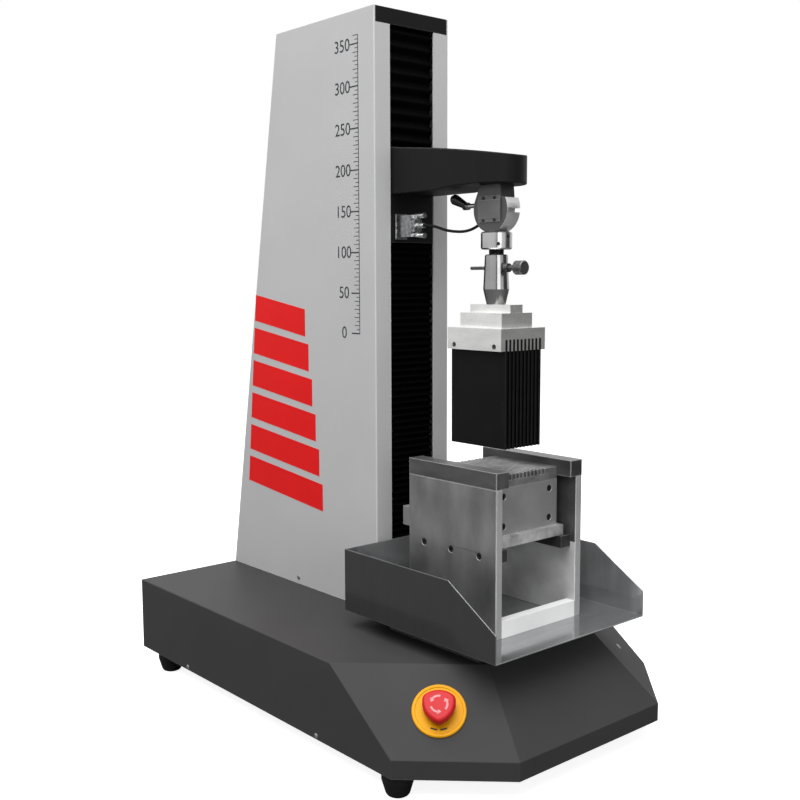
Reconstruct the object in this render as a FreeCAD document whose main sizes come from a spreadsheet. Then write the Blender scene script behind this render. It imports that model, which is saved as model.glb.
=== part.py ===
import FreeCAD, Part
import math
import os
import Sketcher

# A bench texture analyser: a heavy base, a column with a screw-driven crosshead, a load cell
# on an arm and, under it, a ten-blade shear head over its shear cell in a drip tray.
# Millimetres. X runs to the right, -Y to the front, Z up. The origin is on the bench,
# in the middle of the base.

sizes = {
    # feet and base
    "foot_height": 26, "foot_top_radius": 17.5, "foot_bottom_radius": 12.5, "foot_round": 4,
    "foot_side_inset": 19, "foot_front_inset": 102, "foot_rear_inset": 46,
    "base_width": 426, "base_length": 630, "base_height": 96, "lip_height": 20.5,
    "corner_width": 96, "corner_depth": 91, "cover_wall": 2.5, "cover_round": 1.5,
    "plate_thickness": 8, "fit_gap": 0.5, "seat_gap": 0.3,
    "side_screw_front": 95, "side_screw_rear": 190,
    # bed casting and pedestal
    "bed_width": 190, "bed_front": 232, "bed_rear": 190, "bed_wall": 12, "bed_top": 15,
    "pedestal_width": 180, "pedestal_depth": 150, "pedestal_height": 20,
    # column
    "column_width": 120, "column_front": 18, "column_rear_top": 186, "column_top": 859,
    "sheet_wall": 2, "slot_width": 71, "sill_rise": 21, "cap_height": 19, "cap_wall": 3,
    "foot_block_height": 20, "spine_front": 55, "spine_wall": 20, "spine_web": 8,
    "spine_flange": 50, "spine_width": 104, "spine_drop": 24, "foot_block_length": 160,
    "foot_block_lead": 40, "spine_slot_width": 22, "spine_slot_length": 70,
    "spine_slot_step": 140, "spine_slot_rise": 90,
    "rail_offset": 34, "rail_width": 15, "rail_height": 15, "rail_rise": 43, "rail_drop": 29,
    "rail_waist": 2,
    "block_width": 34, "block_length": 50, "slide_gap": 0.1, "run_gap": 0.05,
    "screw_back": 36, "screw_radius": 8, "journal_radius": 6, "bearing_height": 22,
    "screw_drop": 32, "bearing_width": 52, "bearing_nose": 32, "bearing_reach": 17,
    "bearing_shoulder": 12, "nut_radius": 14, "nut_length": 40, "nut_flange_radius": 18,
    "nut_flange": 10, "motor_back": 130, "motor_width": 60, "motor_height": 90,
    "motor_shaft_radius": 4, "pulley_width": 10, "pulley_flange": 1.5, "belt_pitch": 5,
    "screw_teeth": 30, "motor_teeth": 15, "belt_thickness": 2, "pulley_bottom": 82,
    # carriage, bellows and arm
    "arm_level": 643, "carriage_drop": 61, "carriage_height": 115, "carriage_front": 17,
    "carriage_step": 9, "carriage_back": 31, "carriage_width": 102, "panel_width": 69,
    "fold_front": 16.5, "fold_back": 12, "fold_sheet": 1.5, "low_folds": 54, "top_folds": 12,
    "load_line": 163, "arm_width": 68, "arm_root_height": 53, "arm_tip_height": 31,
    "arm_root_drop": 3, "arm_crown": 2400, "arm_haunch": 95,
    "arm_edge": 1.5,
    # load cell and its lead
    "cell_radius": 26, "cell_thickness": 22, "cell_drop": 27.4, "cell_neck_width": 32,
    "cell_shoulder_width": 46, "cell_shoulder_drop": 15, "cell_slot": 4.7,
    "cell_slot_drop": 1.9, "cell_slot_depth": 8, "cell_skin": 3, "badge_width": 34,
    "badge_height": 29, "badge_pad": 20,
    "badge_thickness": 1.6, "badge_screw_y": 8.8, "badge_screw_z": 12.2,
    "stud_boss": 5, "lever_rise": 5.9, "lever_lift": 2.5, "lever_shift": 5, "lever_stem": 22,
    "lever_stem_radius": 2.7, "plug_x": 19, "plug_rise": 19, "plug_width": 16,
    "plug_height": 26, "plug_length": 29, "socket_height": 31, "socket_thickness": 2,
    "thumb_radius": 3.2, "thumb_length": 14, "thumb_spread": 12, "lead_radius": 1.7,
    # coupling
    "collar_radius": 18, "collar_height": 20, "collar_drop": 25.2, "neck_radius": 8.5,
    "neck_height": 5.7, "barrel_top_radius": 13.3, "barrel_belly_radius": 15,
    "barrel_foot_radius": 11, "belly_rise": 17.3, "spigot_radius": 8, "pin_radius": 2,
    "pin_rise": 41.5, "pin_tail": 41, "pin_reach": 31, "knob_radius": 8, "knob_length": 13,
    # blade head
    "coupling_length": 82.4, "step_one": 9.3, "step_two": 16.7, "comb_height": 25,
    "first_width": 20, "first_depth": 64, "second_width": 50, "second_depth": 66,
    "comb_width": 72, "comb_depth": 86, "comb_slot": 13, "blade_count": 10,
    "blade_thickness": 3, "blade_spacing": 6.1, "blade_width": 87, "blade_reach": 110,
    "blade_gap": 0.3, "comb_bolt_radius": 3, "comb_bolt_spread": 64, "comb_bolt_rise": 5,
    "comb_bolt_sink": 2.5,
    # shear cell
    "frame_width": 142, "frame_depth": 143, "side_plate": 10, "side_plate_height": 166.5,
    "top_bar_width": 20, "top_bar_height": 19, "cross_bar_height": 19, "cross_bar_depth": 12,
    "tie_bottom": 247, "tie_height": 23, "tie_depth": 11, "ledge_width": 16,
    "ledge_height": 14, "floor_level": 240, "floor_thickness": 12, "floor_rail": 8,
    "box_width": 102, "box_wall": 6, "box_side": 12, "box_inner_width": 64,
    "box_inner_depth": 89, "box_height": 54, "guide_height": 14, "tooth_height": 6.5,
    # drip tray
    "tray_width": 247.4, "tray_front": 286, "tray_rear": 34, "tray_sheet": 1.5,
    "tray_wall": 75, "tray_front_wall": 31.5, "tray_bend": 214,
    # controls and electrics
    "stop_shift": 17, "stop_plate_radius": 29, "stop_plate_height": 3, "stop_hole": 11,
    "stop_stem_radius": 8, "stop_head_width": 33, "stop_head_height": 10, "stop_rise": 9.5,
    "stop_travel": 4, "lamp_radius": 4, "inlet_inset": 73, "inlet_z": 80, "inlet_width": 28,
    "inlet_height": 48, "rocker_width": 13, "rocker_height": 19,
    "pivot_radius": 1.2, "board_gap": 15, "board_length": 160, "board_inset": 13,
    "board_front": 20, "board_lift": 8, "board_thickness": 1.6, "board_margin": 6,
    "supply_gap": 13, "cell_screw_length": 16, "ledge_screw_step": 45, "supply_length": 160,
    "supply_height": 46, "supply_inset": 23,
    "supply_front": 60, "vent_width": 4, "vent_step": 8, "vent_height": 26,
    "table_slot": 10, "plate_bolt_lower": 22, "plate_bolt_upper": 56,
}

doc = FreeCAD.newDocument("TextureAnalyser")
sheet = doc.addObject("Spreadsheet::Sheet", "Sizes")
nodes = {}


class Size:
    """A length with the expression that gives it from the sheet."""

    def __init__(self, value, text):
        self.value = float(value)
        self.text = text

    def __add__(self, other):
        return Size(self.value + number(other), f"({self.text} + {words(other)})")

    def __radd__(self, other):
        return Size(number(other) + self.value, f"({words(other)} + {self.text})")

    def __sub__(self, other):
        return Size(self.value - number(other), f"({self.text} - {words(other)})")

    def __rsub__(self, other):
        return Size(number(other) - self.value, f"({words(other)} - {self.text})")

    def __mul__(self, other):
        return Size(self.value * number(other), f"({self.text} * {words(other)})")

    def __rmul__(self, other):
        return Size(number(other) * self.value, f"({words(other)} * {self.text})")

    def __truediv__(self, other):
        return Size(self.value / number(other), f"({self.text} / {words(other)})")

    def __neg__(self):
        return Size(-self.value, f"(-{self.text})")


def number(size):
    return size.value if isinstance(size, Size) else float(size)


def words(size):
    return size.text if isinstance(size, Size) else f"({float(size)!r})"


def root_of(size):
    return Size(math.sqrt(size.value), f"sqrt({size.text})")


for row, (alias, value) in enumerate(sizes.items(), start=1):
    sheet.set(f"A{row}", alias)
    sheet.set(f"B{row}", str(value))
    sheet.setAlias(f"B{row}", alias)
doc.recompute()


class Given:
    """Every size of the sheet as an attribute."""

    def __getattr__(self, alias):
        return Size(sizes[alias], f"Sizes.{alias}")


g = Given()


def bind(obj, prop, size):
    obj.setExpression(prop, words(size))


def vector(point):
    return FreeCAD.Vector(*(number(size) for size in point))


def turn_to(direction):
    """The rotation that takes +Z to a direction."""
    return FreeCAD.Rotation(FreeCAD.Vector(0, 0, 1), FreeCAD.Vector(*direction))


def place(obj, at, turn=None):
    if turn is not None:
        obj.Placement = FreeCAD.Placement(vector(at), turn)
    for axis, size in zip("xyz", at):
        bind(obj, f"Placement.Base.{axis}", size)
    return obj


def keep(label, obj):
    """Names a finished sub-part, which is then written to its own file."""
    obj.Label = label
    nodes[label] = obj
    return obj


def box(name, low, size):
    obj = doc.addObject("Part::Box", name)
    for prop, length in zip(("Length", "Width", "Height"), size):
        bind(obj, prop, length)
    return place(obj, low)


def rod(name, at, direction, radius, length):
    obj = doc.addObject("Part::Cylinder", name)
    bind(obj, "Radius", radius)
    bind(obj, "Height", length)
    return place(obj, at, turn_to(direction))


def cone(name, at, direction, first, last, length):
    obj = doc.addObject("Part::Cone", name)
    bind(obj, "Radius1", first)
    bind(obj, "Radius2", last)
    bind(obj, "Height", length)
    return place(obj, at, turn_to(direction))


def group(name, members):
    obj = doc.addObject("Part::Compound", name)
    obj.Links = members
    return obj


def fuse(name, *members):
    obj = doc.addObject("Part::MultiFuse", name)
    obj.Shapes = list(members)
    obj.Refine = True
    return obj


def cut(name, base, *tools):
    obj = doc.addObject("Part::Cut", name)
    obj.Base = base
    obj.Tool = tools[0] if len(tools) == 1 else fuse(name + "Tools", *tools)
    obj.Refine = True
    return obj


def mirror(name, source):
    """The same piece on the other side of the machine."""
    obj = doc.addObject("Part::Mirroring", name)
    obj.Source = source
    obj.Normal = FreeCAD.Vector(1, 0, 0)
    return obj


def origin_feature(body, role):
    return next(o for o in body.Origin.OriginFeatures if o.Role == role)


def new_body(name):
    return doc.addObject("PartDesign::Body", name)


def draw(sketch, outline):
    """Adds a closed outline. A point is (x, y) or, where an arc to the next point starts,
    (x, y, radius), with a negative radius where the arc turns clockwise."""
    spots = [vector((point[0], point[1], 0)) for point in outline]
    first = sketch.GeometryCount
    ends = []
    for i, (point, start) in enumerate(zip(outline, spots)):
        end = spots[(i + 1) % len(spots)]
        if len(point) == 2:
            sketch.addGeometry(Part.LineSegment(start, end), False)
            ends.append((1, 2))
            continue
        radius = abs(number(point[2]))
        ahead = end - start
        rise = math.sqrt(max(radius ** 2 - (ahead.Length / 2) ** 2, 0))
        left = FreeCAD.Vector(-ahead.y, ahead.x, 0).normalize()
        way = 1 if number(point[2]) > 0 else -1
        middle = (start + end) / 2 + left * rise * way
        angles = [math.atan2(p.y - middle.y, p.x - middle.x) for p in (start, end)][::way]
        if angles[1] < angles[0]:
            angles[1] += 2 * math.pi
        circle = Part.Circle(middle, FreeCAD.Vector(0, 0, 1), radius)
        sketch.addGeometry(Part.ArcOfCircle(circle, *angles), False)
        ends.append((1, 2)[::way])
    for i, point in enumerate(outline):
        after = (i + 1) % len(outline)
        sketch.addConstraint(Sketcher.Constraint(
            "Coincident", first + i, ends[i][1], first + after, ends[after][0]))
        if len(point) > 2:
            hold(sketch, "Radius", (first + i,), point[2] if number(point[2]) > 0 else -point[2])
        for kind, size in zip(("DistanceX", "DistanceY"), point):
            hold(sketch, kind, (-1, 1, first + i, ends[i][0]), size)


def draw_circle(sketch, x, y, radius):
    circle = Part.Circle(vector((x, y, 0)), FreeCAD.Vector(0, 0, 1), number(radius))
    index = sketch.addGeometry(circle, False)
    hold(sketch, "Radius", (index,), radius)
    hold(sketch, "DistanceX", (-1, 1, index, 3), x)
    hold(sketch, "DistanceY", (-1, 1, index, 3), y)


def hold(sketch, kind, geometry, size):
    index = sketch.addConstraint(Sketcher.Constraint(kind, *geometry, number(size)))
    sketch.setExpression(f"Constraints[{index}]", words(size))


def sketch_on(body, plane, outline, offset=0, swing=None):
    sketch = body.newObject("Sketcher::SketchObject", body.Name + "Sketch")
    sketch.AttachmentSupport = (origin_feature(body, plane + "_Plane"), [""])
    sketch.MapMode = "FlatFace"
    if swing is not None:
        sketch.AttachmentOffset = FreeCAD.Placement(FreeCAD.Vector(), swing)
    bind(sketch, "AttachmentOffset.Base.z", offset)
    if outline[0] == "circle":
        draw_circle(sketch, *outline[1:])
    else:
        draw(sketch, outline)
    return sketch


def pad(body, plane, outline, low, length):
    """Thickens an outline, from low along the world axis that the plane leaves out."""
    offset = -(low + length) if plane == "XZ" else low
    feature = body.newObject("PartDesign::Pad", body.Name + "Pad")
    feature.Profile = sketch_on(body, plane, outline, offset)
    bind(feature, "Length", length)
    return feature


def wide_pad(body, plane, outline, length):
    """Thickens an outline to both sides of its plane."""
    feature = body.newObject("PartDesign::Pad", body.Name + "Pad")
    feature.Profile = sketch_on(body, plane, outline)
    feature.Midplane = True
    bind(feature, "Length", length)
    return feature


def wide_pocket(body, plane, outline, length, swing=None):
    """Cuts an outline to both sides of its plane."""
    feature = body.newObject("PartDesign::Pocket", body.Name + "Pocket")
    feature.Profile = sketch_on(body, plane, outline, swing=swing)
    feature.Midplane = True
    bind(feature, "Length", length)
    return feature


def pocket(body, plane, outline, low, length):
    """Cuts an outline, from low along the world axis that the plane leaves out."""
    offset = -(low + length) if plane == "XZ" else low
    feature = body.newObject("PartDesign::Pocket", body.Name + "Pocket")
    feature.Profile = sketch_on(body, plane, outline, offset)
    feature.Reversed = True
    bind(feature, "Length", length)
    return feature


def turned(name, profile):
    """A turned piece about +Z, from points (radius, height) on one side of the axis."""
    body = new_body(name)
    feature = body.newObject("PartDesign::Revolution", name + "Turning")
    sketch = sketch_on(body, "XZ", profile)
    feature.Profile = sketch
    feature.ReferenceAxis = (sketch, ["V_Axis"])
    feature.Angle = 360
    return body


def repeat(body, feature, axis, step, count):
    """Repeats a feature in a row along a world axis."""
    pattern = body.newObject("PartDesign::LinearPattern", body.Name + "Row")
    pattern.Originals = [feature]
    pattern.Direction = (origin_feature(body, axis + "_Axis"), [""])
    pattern.Occurrences = int(number(count))
    bind(pattern, "Length", step * (count - 1))
    body.Tip = pattern
    return pattern


def rectangle(x_low, y_low, x_high, y_high):
    return [(x_low, y_low), (x_high, y_low), (x_high, y_high), (x_low, y_high)]


def edges_like(shape, test):
    """The names of a shape's edges whose middle point and direction pass a test."""
    names = []
    for index, edge in enumerate(shape.Edges, start=1):
        middle = edge.valueAt((edge.FirstParameter + edge.LastParameter) / 2)
        ahead = edge.Vertexes[-1].Point - edge.Vertexes[0].Point
        if ahead.Length > 0 and test(middle, ahead.normalize()):
            names.append(f"Edge{index}")
    return names


# Levels and places that several sub-parts share
base_top = g.foot_height + g.base_height
lip_top = g.foot_height + g.lip_height
base_half = g.base_width / 2
base_front = g.base_length / 2
panel_rise = g.base_height - g.lip_height
corner_line = root_of(g.corner_width * g.corner_width + g.corner_depth * g.corner_depth)
corner_reach = (base_half * g.corner_depth
                + (base_front - g.corner_depth) * g.corner_width) / corner_line
bed_level = base_top - g.cover_wall - g.fit_gap
plate_level = g.foot_height + g.plate_thickness
tray_floor = bed_level + g.pedestal_height + g.tray_sheet + g.cover_wall + g.fit_gap
foot_block_top = bed_level + g.foot_block_height
load_y = -g.load_line
slot_sill = base_top + g.sill_rise
spine_end = g.column_top - g.spine_drop
rail_bottom = base_top + g.rail_rise
rail_end = g.column_top - g.rail_drop
screw_end = g.column_top - g.screw_drop
arm_tip_under = g.arm_level
arm_root_under = g.arm_level - g.arm_root_drop
arm_root_top = g.arm_level + g.arm_root_height
arm_tip_top = g.arm_level + g.arm_tip_height
carriage_bottom = g.arm_level - g.carriage_drop
plug_middle = carriage_bottom + g.plug_rise
cell_middle = g.arm_level - g.cell_drop
cell_shoulder = g.arm_level - g.cell_shoulder_drop
cell_slot_middle = cell_middle - g.cell_slot_drop
lever_height = cell_middle + g.lever_rise
collar_top = cell_middle - g.collar_drop
head_top_level = collar_top - g.coupling_length
barrel_belly = head_top_level + g.belly_rise
pin_height = head_top_level + g.pin_rise
inlet_x = base_half - g.inlet_inset
collar_bottom = collar_top - g.collar_height
barrel_top = collar_bottom - g.neck_height
comb_top = head_top_level - g.step_one - g.step_two
comb_bottom = comb_top - g.comb_height
blade_bottom = comb_bottom - g.blade_reach
blades_half = (g.blade_spacing * (g.blade_count - 1) + g.blade_thickness) / 2
frame_front = load_y - g.frame_depth / 2
frame_rear = load_y + g.frame_depth / 2
frame_half = g.frame_width / 2
box_floor = g.floor_level + g.floor_thickness
box_top = box_floor + g.box_height
stop_angle = math.degrees(math.atan2(sizes["corner_depth"], sizes["corner_width"]))


def base_outline(inset):
    """The base seen from above, with its sides moved in by an inset."""
    side = base_half - inset
    front = base_front - inset
    reach = (corner_reach - inset) * corner_line
    corner_y = (reach - side * g.corner_depth) / g.corner_width
    corner_x = (reach - front * g.corner_width) / g.corner_depth
    return [(side, front), (-side, front), (-side, -corner_y), (-corner_x, -front),
            (corner_x, -front), (side, -corner_y)]


def make_feet():
    profile = [(0, 0), (g.foot_bottom_radius - g.foot_round, 0, g.foot_round * 1.5),
               (g.foot_bottom_radius + 0.8, g.foot_round),
               (g.foot_top_radius, g.foot_height - 8), (g.foot_top_radius, g.foot_height),
               (0, g.foot_height)]
    feet = []
    for side in (-1, 1):
        for y in (g.foot_front_inset - base_front, base_front - g.foot_rear_inset):
            feet.append(place(turned("Foot", profile),
                              (side * (base_half - g.foot_side_inset), y, 0)))
    keep("feet", group("Feet", feet))


def make_base_plate():
    body = new_body("BasePlate")
    pad(body, "XY", base_outline(g.cover_wall + g.fit_gap), g.foot_height, g.plate_thickness)
    holes = [rod("PlateThread", (side * (base_half - g.cover_wall - 12), y, screw_level()),
                 (side, 0, 0), 2, 12) for side in (-1, 1) for y in side_screw_rows()]
    keep("base_plate", cut("BasePlateDrilled", body, *holes))


def screw_level():
    return g.foot_height + g.plate_thickness / 2


def side_screw_rows():
    return (-g.side_screw_front, g.side_screw_rear)


def base_solid(name, inset):
    """The solid inside the base's skin: straight sides, a sloping front and sloping corners."""
    body = new_body(name)
    bottom = g.foot_height if inset == 0 else g.foot_height - 1
    pad(body, "XY", base_outline(inset), bottom, base_top - inset - bottom)
    start = lip_top - inset * math.sqrt(2)
    beyond = 10
    top = start + panel_rise + beyond
    outside = g.corner_depth * 2
    front_slope = [(-base_front - outside, start), (-base_front, start),
                   (-base_front + panel_rise + beyond, top), (-base_front - outside, top)]
    slope = wide_pocket(body, "YZ", front_slope, g.base_width)
    corner_slope = [(-corner_reach - outside, start), (-corner_reach, start),
                    (-corner_reach + panel_rise + beyond, top), (-corner_reach - outside, top)]
    for side in (-1, 1):
        swing = FreeCAD.Rotation(FreeCAD.Vector(0, 1, 0), side * stop_angle)
        slope = wide_pocket(body, "YZ", corner_slope, g.base_length, swing)
    return body, slope


def make_base_cover():
    body, slope = base_solid("BaseSkin", 0)
    doc.recompute()
    low = sizes["foot_height"] + 1
    rounded = body.newObject("PartDesign::Fillet", "BaseSkinRound")
    rounded.Base = (slope, edges_like(slope.Shape, lambda at, way: at.z > low))
    bind(rounded, "Radius", g.cover_round)
    hollow, slope = base_solid("BaseHollow", g.cover_wall)
    inner = g.column_width / 2 - g.sheet_wall
    top_low = base_top - g.cover_wall * 2
    tools = [
        box("ColumnWell", (-inner, -g.column_front + g.sheet_wall, top_low),
            (inner * 2, base_front - 10 + g.column_front - g.sheet_wall, g.cover_wall * 4)),
        box("PedestalWell", (-g.pedestal_width / 2 - g.fit_gap,
                             load_y - g.pedestal_depth / 2 - g.fit_gap + 10, top_low),
            (g.pedestal_width + g.fit_gap * 2, g.pedestal_depth + g.fit_gap * 2,
             g.cover_wall * 4)),
        rod("StopHole", stop_spot(-20), stop_normal(), g.stop_hole, 40),
        rod("LampHole", lamp_spot(-20), lamp_normal(), g.lamp_radius, 40),
        box("InletWindow", (inlet_x - g.inlet_width / 2, base_front - 10,
                            g.inlet_z - g.inlet_height / 2),
            (g.inlet_width, 20, g.inlet_height)),
    ]
    for side in (-1, 1):
        for y in side_screw_rows():
            tools.append(rod("SideHole", (side * (base_half - 10), y, screw_level()),
                             (side, 0, 0), 2.1, 20))
    keep("base_cover", cut("BaseCover", body, hollow, *tools))


def corner_normal(side):
    """The outward direction of a sloping corner panel, the same for every base size."""
    plan = math.radians(stop_angle)
    lean = math.sqrt(0.5)
    return (side * math.sin(plan) * lean, -math.cos(plan) * lean, lean)


def stop_normal():
    return corner_normal(-1)


def lamp_normal():
    return corner_normal(1)


def corner_spot(side, shift, depth):
    """A point of a corner panel at half its rise: shifted to the side, and depth above it."""
    along_x, along_y = g.corner_width / corner_line, g.corner_depth / corner_line
    plan_x = base_half - g.corner_width / 2 - (panel_rise / 2) * along_y + shift * along_x
    plan_y = -(base_front - g.corner_depth / 2 - (panel_rise / 2) * along_x - shift * along_y)
    normal = corner_normal(side)
    return (side * plan_x + depth * normal[0], plan_y + depth * normal[1],
            lip_top + panel_rise / 2 + depth * normal[2])


def stop_spot(depth):
    return corner_spot(-1, g.stop_shift, depth)


def lamp_spot(depth):
    return corner_spot(1, g.stop_shift, depth)


def make_bed_casting():
    """The cast bed that ties base plate, pedestal and column together, open underneath."""
    half = g.bed_width / 2
    body = new_body("Bed")
    pad(body, "XY", rectangle(-half, -g.bed_front, half, g.bed_rear), plate_level,
        bed_level - plate_level)
    rib = -60
    hollow_top = bed_level - g.bed_top
    for low, high in ((-g.bed_front + g.bed_wall, rib - g.bed_wall / 2),
                      (rib + g.bed_wall / 2, g.bed_rear - g.bed_wall)):
        pocket(body, "XY", rectangle(-half + g.bed_wall, low, half - g.bed_wall, high),
               plate_level, hollow_top - plate_level)
    pocket(body, "XY", ("circle", 0, g.screw_back, g.journal_radius + 2), hollow_top, g.bed_top)
    pocket(body, "XY", ("circle", 0, g.motor_back, g.motor_shaft_radius + 6), hollow_top,
           g.bed_top)
    keep("bed_casting", body)


def make_pedestal():
    body = new_body("Pedestal")
    half = g.pedestal_width / 2
    low = load_y - g.pedestal_depth / 2 + 10
    high = low + g.pedestal_depth
    top = tray_floor - g.tray_sheet
    pad(body, "XY", rectangle(-half, low, half, high), bed_level, top - bed_level)
    wide = g.table_slot
    first = -half + g.pedestal_width / 6 - wide / 2
    channel = pocket(body, "XZ", rectangle(first, top - wide, first + wide, top), low,
                     g.pedestal_depth)
    repeat(body, channel, "X", g.pedestal_width / 3, 3)
    keep("pedestal_table", body)


def make_column_foot():
    half = g.column_width / 2 - g.sheet_wall - g.seat_gap
    body = new_body("ColumnFoot")
    pad(body, "XY", rectangle(-half, g.spine_front - g.foot_block_lead, half,
                               g.spine_front - g.foot_block_lead + g.foot_block_length), bed_level,
        g.foot_block_height)
    motor_half = g.motor_width / 2 + 2
    pocket(body, "XY", rectangle(-motor_half, g.motor_back - motor_half, motor_half,
                                 g.motor_back + motor_half), bed_level, g.foot_block_height)
    pocket(body, "XY", ("circle", 0, g.screw_back, g.screw_radius + 1), bed_level,
           g.foot_block_height)
    holes = [rod("FootThread", (side * (half + 1), column_screw_y(), column_screw_z()),
                 (-side, 0, 0), 2, 14) for side in (-1, 1)]
    keep("column_foot", cut("ColumnFootDrilled", body, *holes))


def column_screw_y():
    return g.motor_back + 22


def column_screw_z():
    return base_top + 9


def make_spine():
    """The column's backbone: a U section, open to the rear, with a window for the belt side."""
    body = new_body("Spine")
    half = g.spine_width / 2
    front, web = g.spine_front, g.spine_front + g.spine_wall
    back = web + g.spine_flange
    outline = [(-half, front), (half, front), (half, back), (half - g.spine_web, back),
               (half - g.spine_web, web), (-half + g.spine_web, web),
               (-half + g.spine_web, back), (-half, back)]
    pad(body, "XY", outline, foot_block_top, spine_end - foot_block_top)
    low = foot_block_top + g.spine_slot_rise
    window = pocket(body, "XZ", rectangle(-g.spine_slot_width / 2, low, g.spine_slot_width / 2,
                                          low + g.spine_slot_length), front, g.spine_wall)
    repeat(body, window, "Z", g.spine_slot_step, 4)
    keep("column_spine", body)


def make_rails():
    rails = []
    for side in (-1, 1):
        body = new_body("Rail")
        half, high = g.rail_width / 2, g.rail_height
        waist = g.rail_waist
        middle = side * g.rail_offset
        y = g.spine_front
        outline = [(middle - half, y - high), (middle + half, y - high),
                   (middle + half, y - high + 4), (middle + half - waist, y - high + 6),
                   (middle + half - waist, y - 5), (middle + half, y - 3), (middle + half, y),
                   (middle - half, y), (middle - half, y - 3), (middle - half + waist, y - 5),
                   (middle - half + waist, y - high + 6), (middle - half, y - high + 4)]
        pad(body, "XY", outline, rail_bottom, rail_end - rail_bottom)
        rails.append(body)
    keep("guide_rails", group("Rails", rails))


def make_bearing_blocks():
    blocks = []
    for low, name in ((foot_block_top, "LowerBearing"),
                      (screw_end - g.bearing_height, "UpperBearing")):
        body = new_body(name)
        half, nose = g.bearing_width / 2, g.bearing_nose / 2
        y_low, shoulder = g.screw_back - g.bearing_reach, g.spine_front - g.bearing_shoulder
        pad(body, "XY", [(-half, g.spine_front), (-half, shoulder), (-nose, y_low),
                         (nose, y_low), (half, shoulder), (half, g.spine_front)], low,
            g.bearing_height)
        pocket(body, "XY", ("circle", 0, g.screw_back, g.journal_radius + g.run_gap), low,
               g.bearing_height)
        blocks.append(body)
    keep("bearing_blocks", group("BearingBlocks", blocks))


def side_profile(inset):
    """The column seen from the side, with its front and sloping rear moved in by an inset."""
    run = base_front - g.column_rear_top
    rise = g.column_top - base_top
    slant = inset * root_of(run * run + rise * rise) / rise
    return -g.column_front + inset, base_front - slant, g.column_rear_top - slant


def make_column_cover():
    body = new_body("ColumnCover")
    front, rear_low, rear_top = side_profile(0)
    block = wide_pad(body, "YZ", [(front, base_top), (rear_low, base_top),
                                  (rear_top, g.column_top), (front, g.column_top)],
                     g.column_width)
    doc.recompute()
    eased = body.newObject("PartDesign::Fillet", "ColumnEase")
    eased.Base = (block, edges_like(block.Shape, lambda at, way: abs(way.z) > 0.9))
    bind(eased, "Radius", g.cover_round)
    front, rear_low, rear_top = side_profile(g.sheet_wall)
    inner = g.column_width - g.sheet_wall * 2
    above = 1
    wide_pocket(body, "YZ", [(front, base_top - above), (rear_low, base_top - above),
                             (rear_top, g.column_top + above), (front, g.column_top + above)],
                inner)
    pocket(body, "XZ", rectangle(-g.slot_width / 2, slot_sill, g.slot_width / 2,
                                 g.column_top + above), -g.column_front - above,
           g.sheet_wall + above * 2)
    pocket(body, "XZ", rectangle(-inner / 2, g.column_top - g.cap_height, inner / 2,
                                 g.column_top + above), -g.column_front - above,
           g.sheet_wall + above * 2)
    pocket(body, "XZ", rectangle(-inner / 2, g.column_top - g.cap_wall, inner / 2,
                                 g.column_top + above), g.column_rear_top - 10, 12)
    pad(body, "XY", rectangle(-g.slot_width / 2 - 2, -g.column_front + g.sheet_wall / 2,
                              g.slot_width / 2 + 2, -g.fold_back + 4),
        slot_sill - g.sheet_wall, g.sheet_wall)
    holes = [rod("ColumnHole", (side * g.column_width / 2 - side * 10, column_screw_y(),
                                column_screw_z()), (side, 0, 0), 2.1, 20) for side in (-1, 1)]
    keep("column_cover", cut("ColumnCoverCut", body, *holes))


def make_cap():
    body = new_body("Cap")
    front = -g.column_front
    under = g.column_top - g.cap_height + g.seat_gap
    rear = g.column_rear_top
    lip = -g.fold_back + 4
    outline = [(front, under), (lip, under), (lip, under + g.cap_wall),
               (front + g.cap_wall, under + g.cap_wall),
               (front + g.cap_wall, g.column_top - g.cap_wall),
               (rear, g.column_top - g.cap_wall), (rear, g.column_top),
               (front, g.column_top)]
    wide_pad(body, "YZ", outline, g.column_width - g.sheet_wall * 2 - g.seat_gap * 2)
    keep("column_cap", body)


def make_bellows():
    """Folded covers above and below the carriage: a zigzag sheet, one fold repeated."""
    carriage_top = carriage_bottom + g.carriage_height
    cap_under = g.column_top - g.cap_height
    spans = (("bellows_lower", slot_sill, carriage_bottom - g.seat_gap, g.low_folds),
             ("bellows_upper", carriage_top + g.seat_gap, cap_under, g.top_folds))
    for label, low, high, folds in spans:
        body = new_body(label)
        pitch = (high - low) / folds
        front, back, sheet_depth = -g.fold_front, -g.fold_back, g.fold_sheet
        outline = [(back, low), (back + sheet_depth, low),
                   (front + sheet_depth, low + pitch / 2), (back + sheet_depth, low + pitch),
                   (back, low + pitch), (front, low + pitch / 2)]
        fold = wide_pad(body, "YZ", outline, g.panel_width)
        repeat(body, fold, "Z", pitch, folds)
        keep(label, body)


def make_screw_covers():
    """Button-headed screws that hold the base cover and the column cover."""
    screws = []
    for side in (-1, 1):
        spots = [(base_half, y, screw_level()) for y in side_screw_rows()]
        spots.append((g.column_width / 2, column_screw_y(), column_screw_z()))
        for x, y, z in spots:
            screw = turned("CoverScrew", [(0, -9), (1.9, -9), (1.9, 0), (3.2, 0), (3.2, 0.4, 3),
                                          (1.6, 1.3), (0, 1.3)])
            screws.append(place(screw, (side * x, y, z), turn_to((side, 0, 0))))
    keep("cover_screws", group("CoverScrews", screws))


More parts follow.
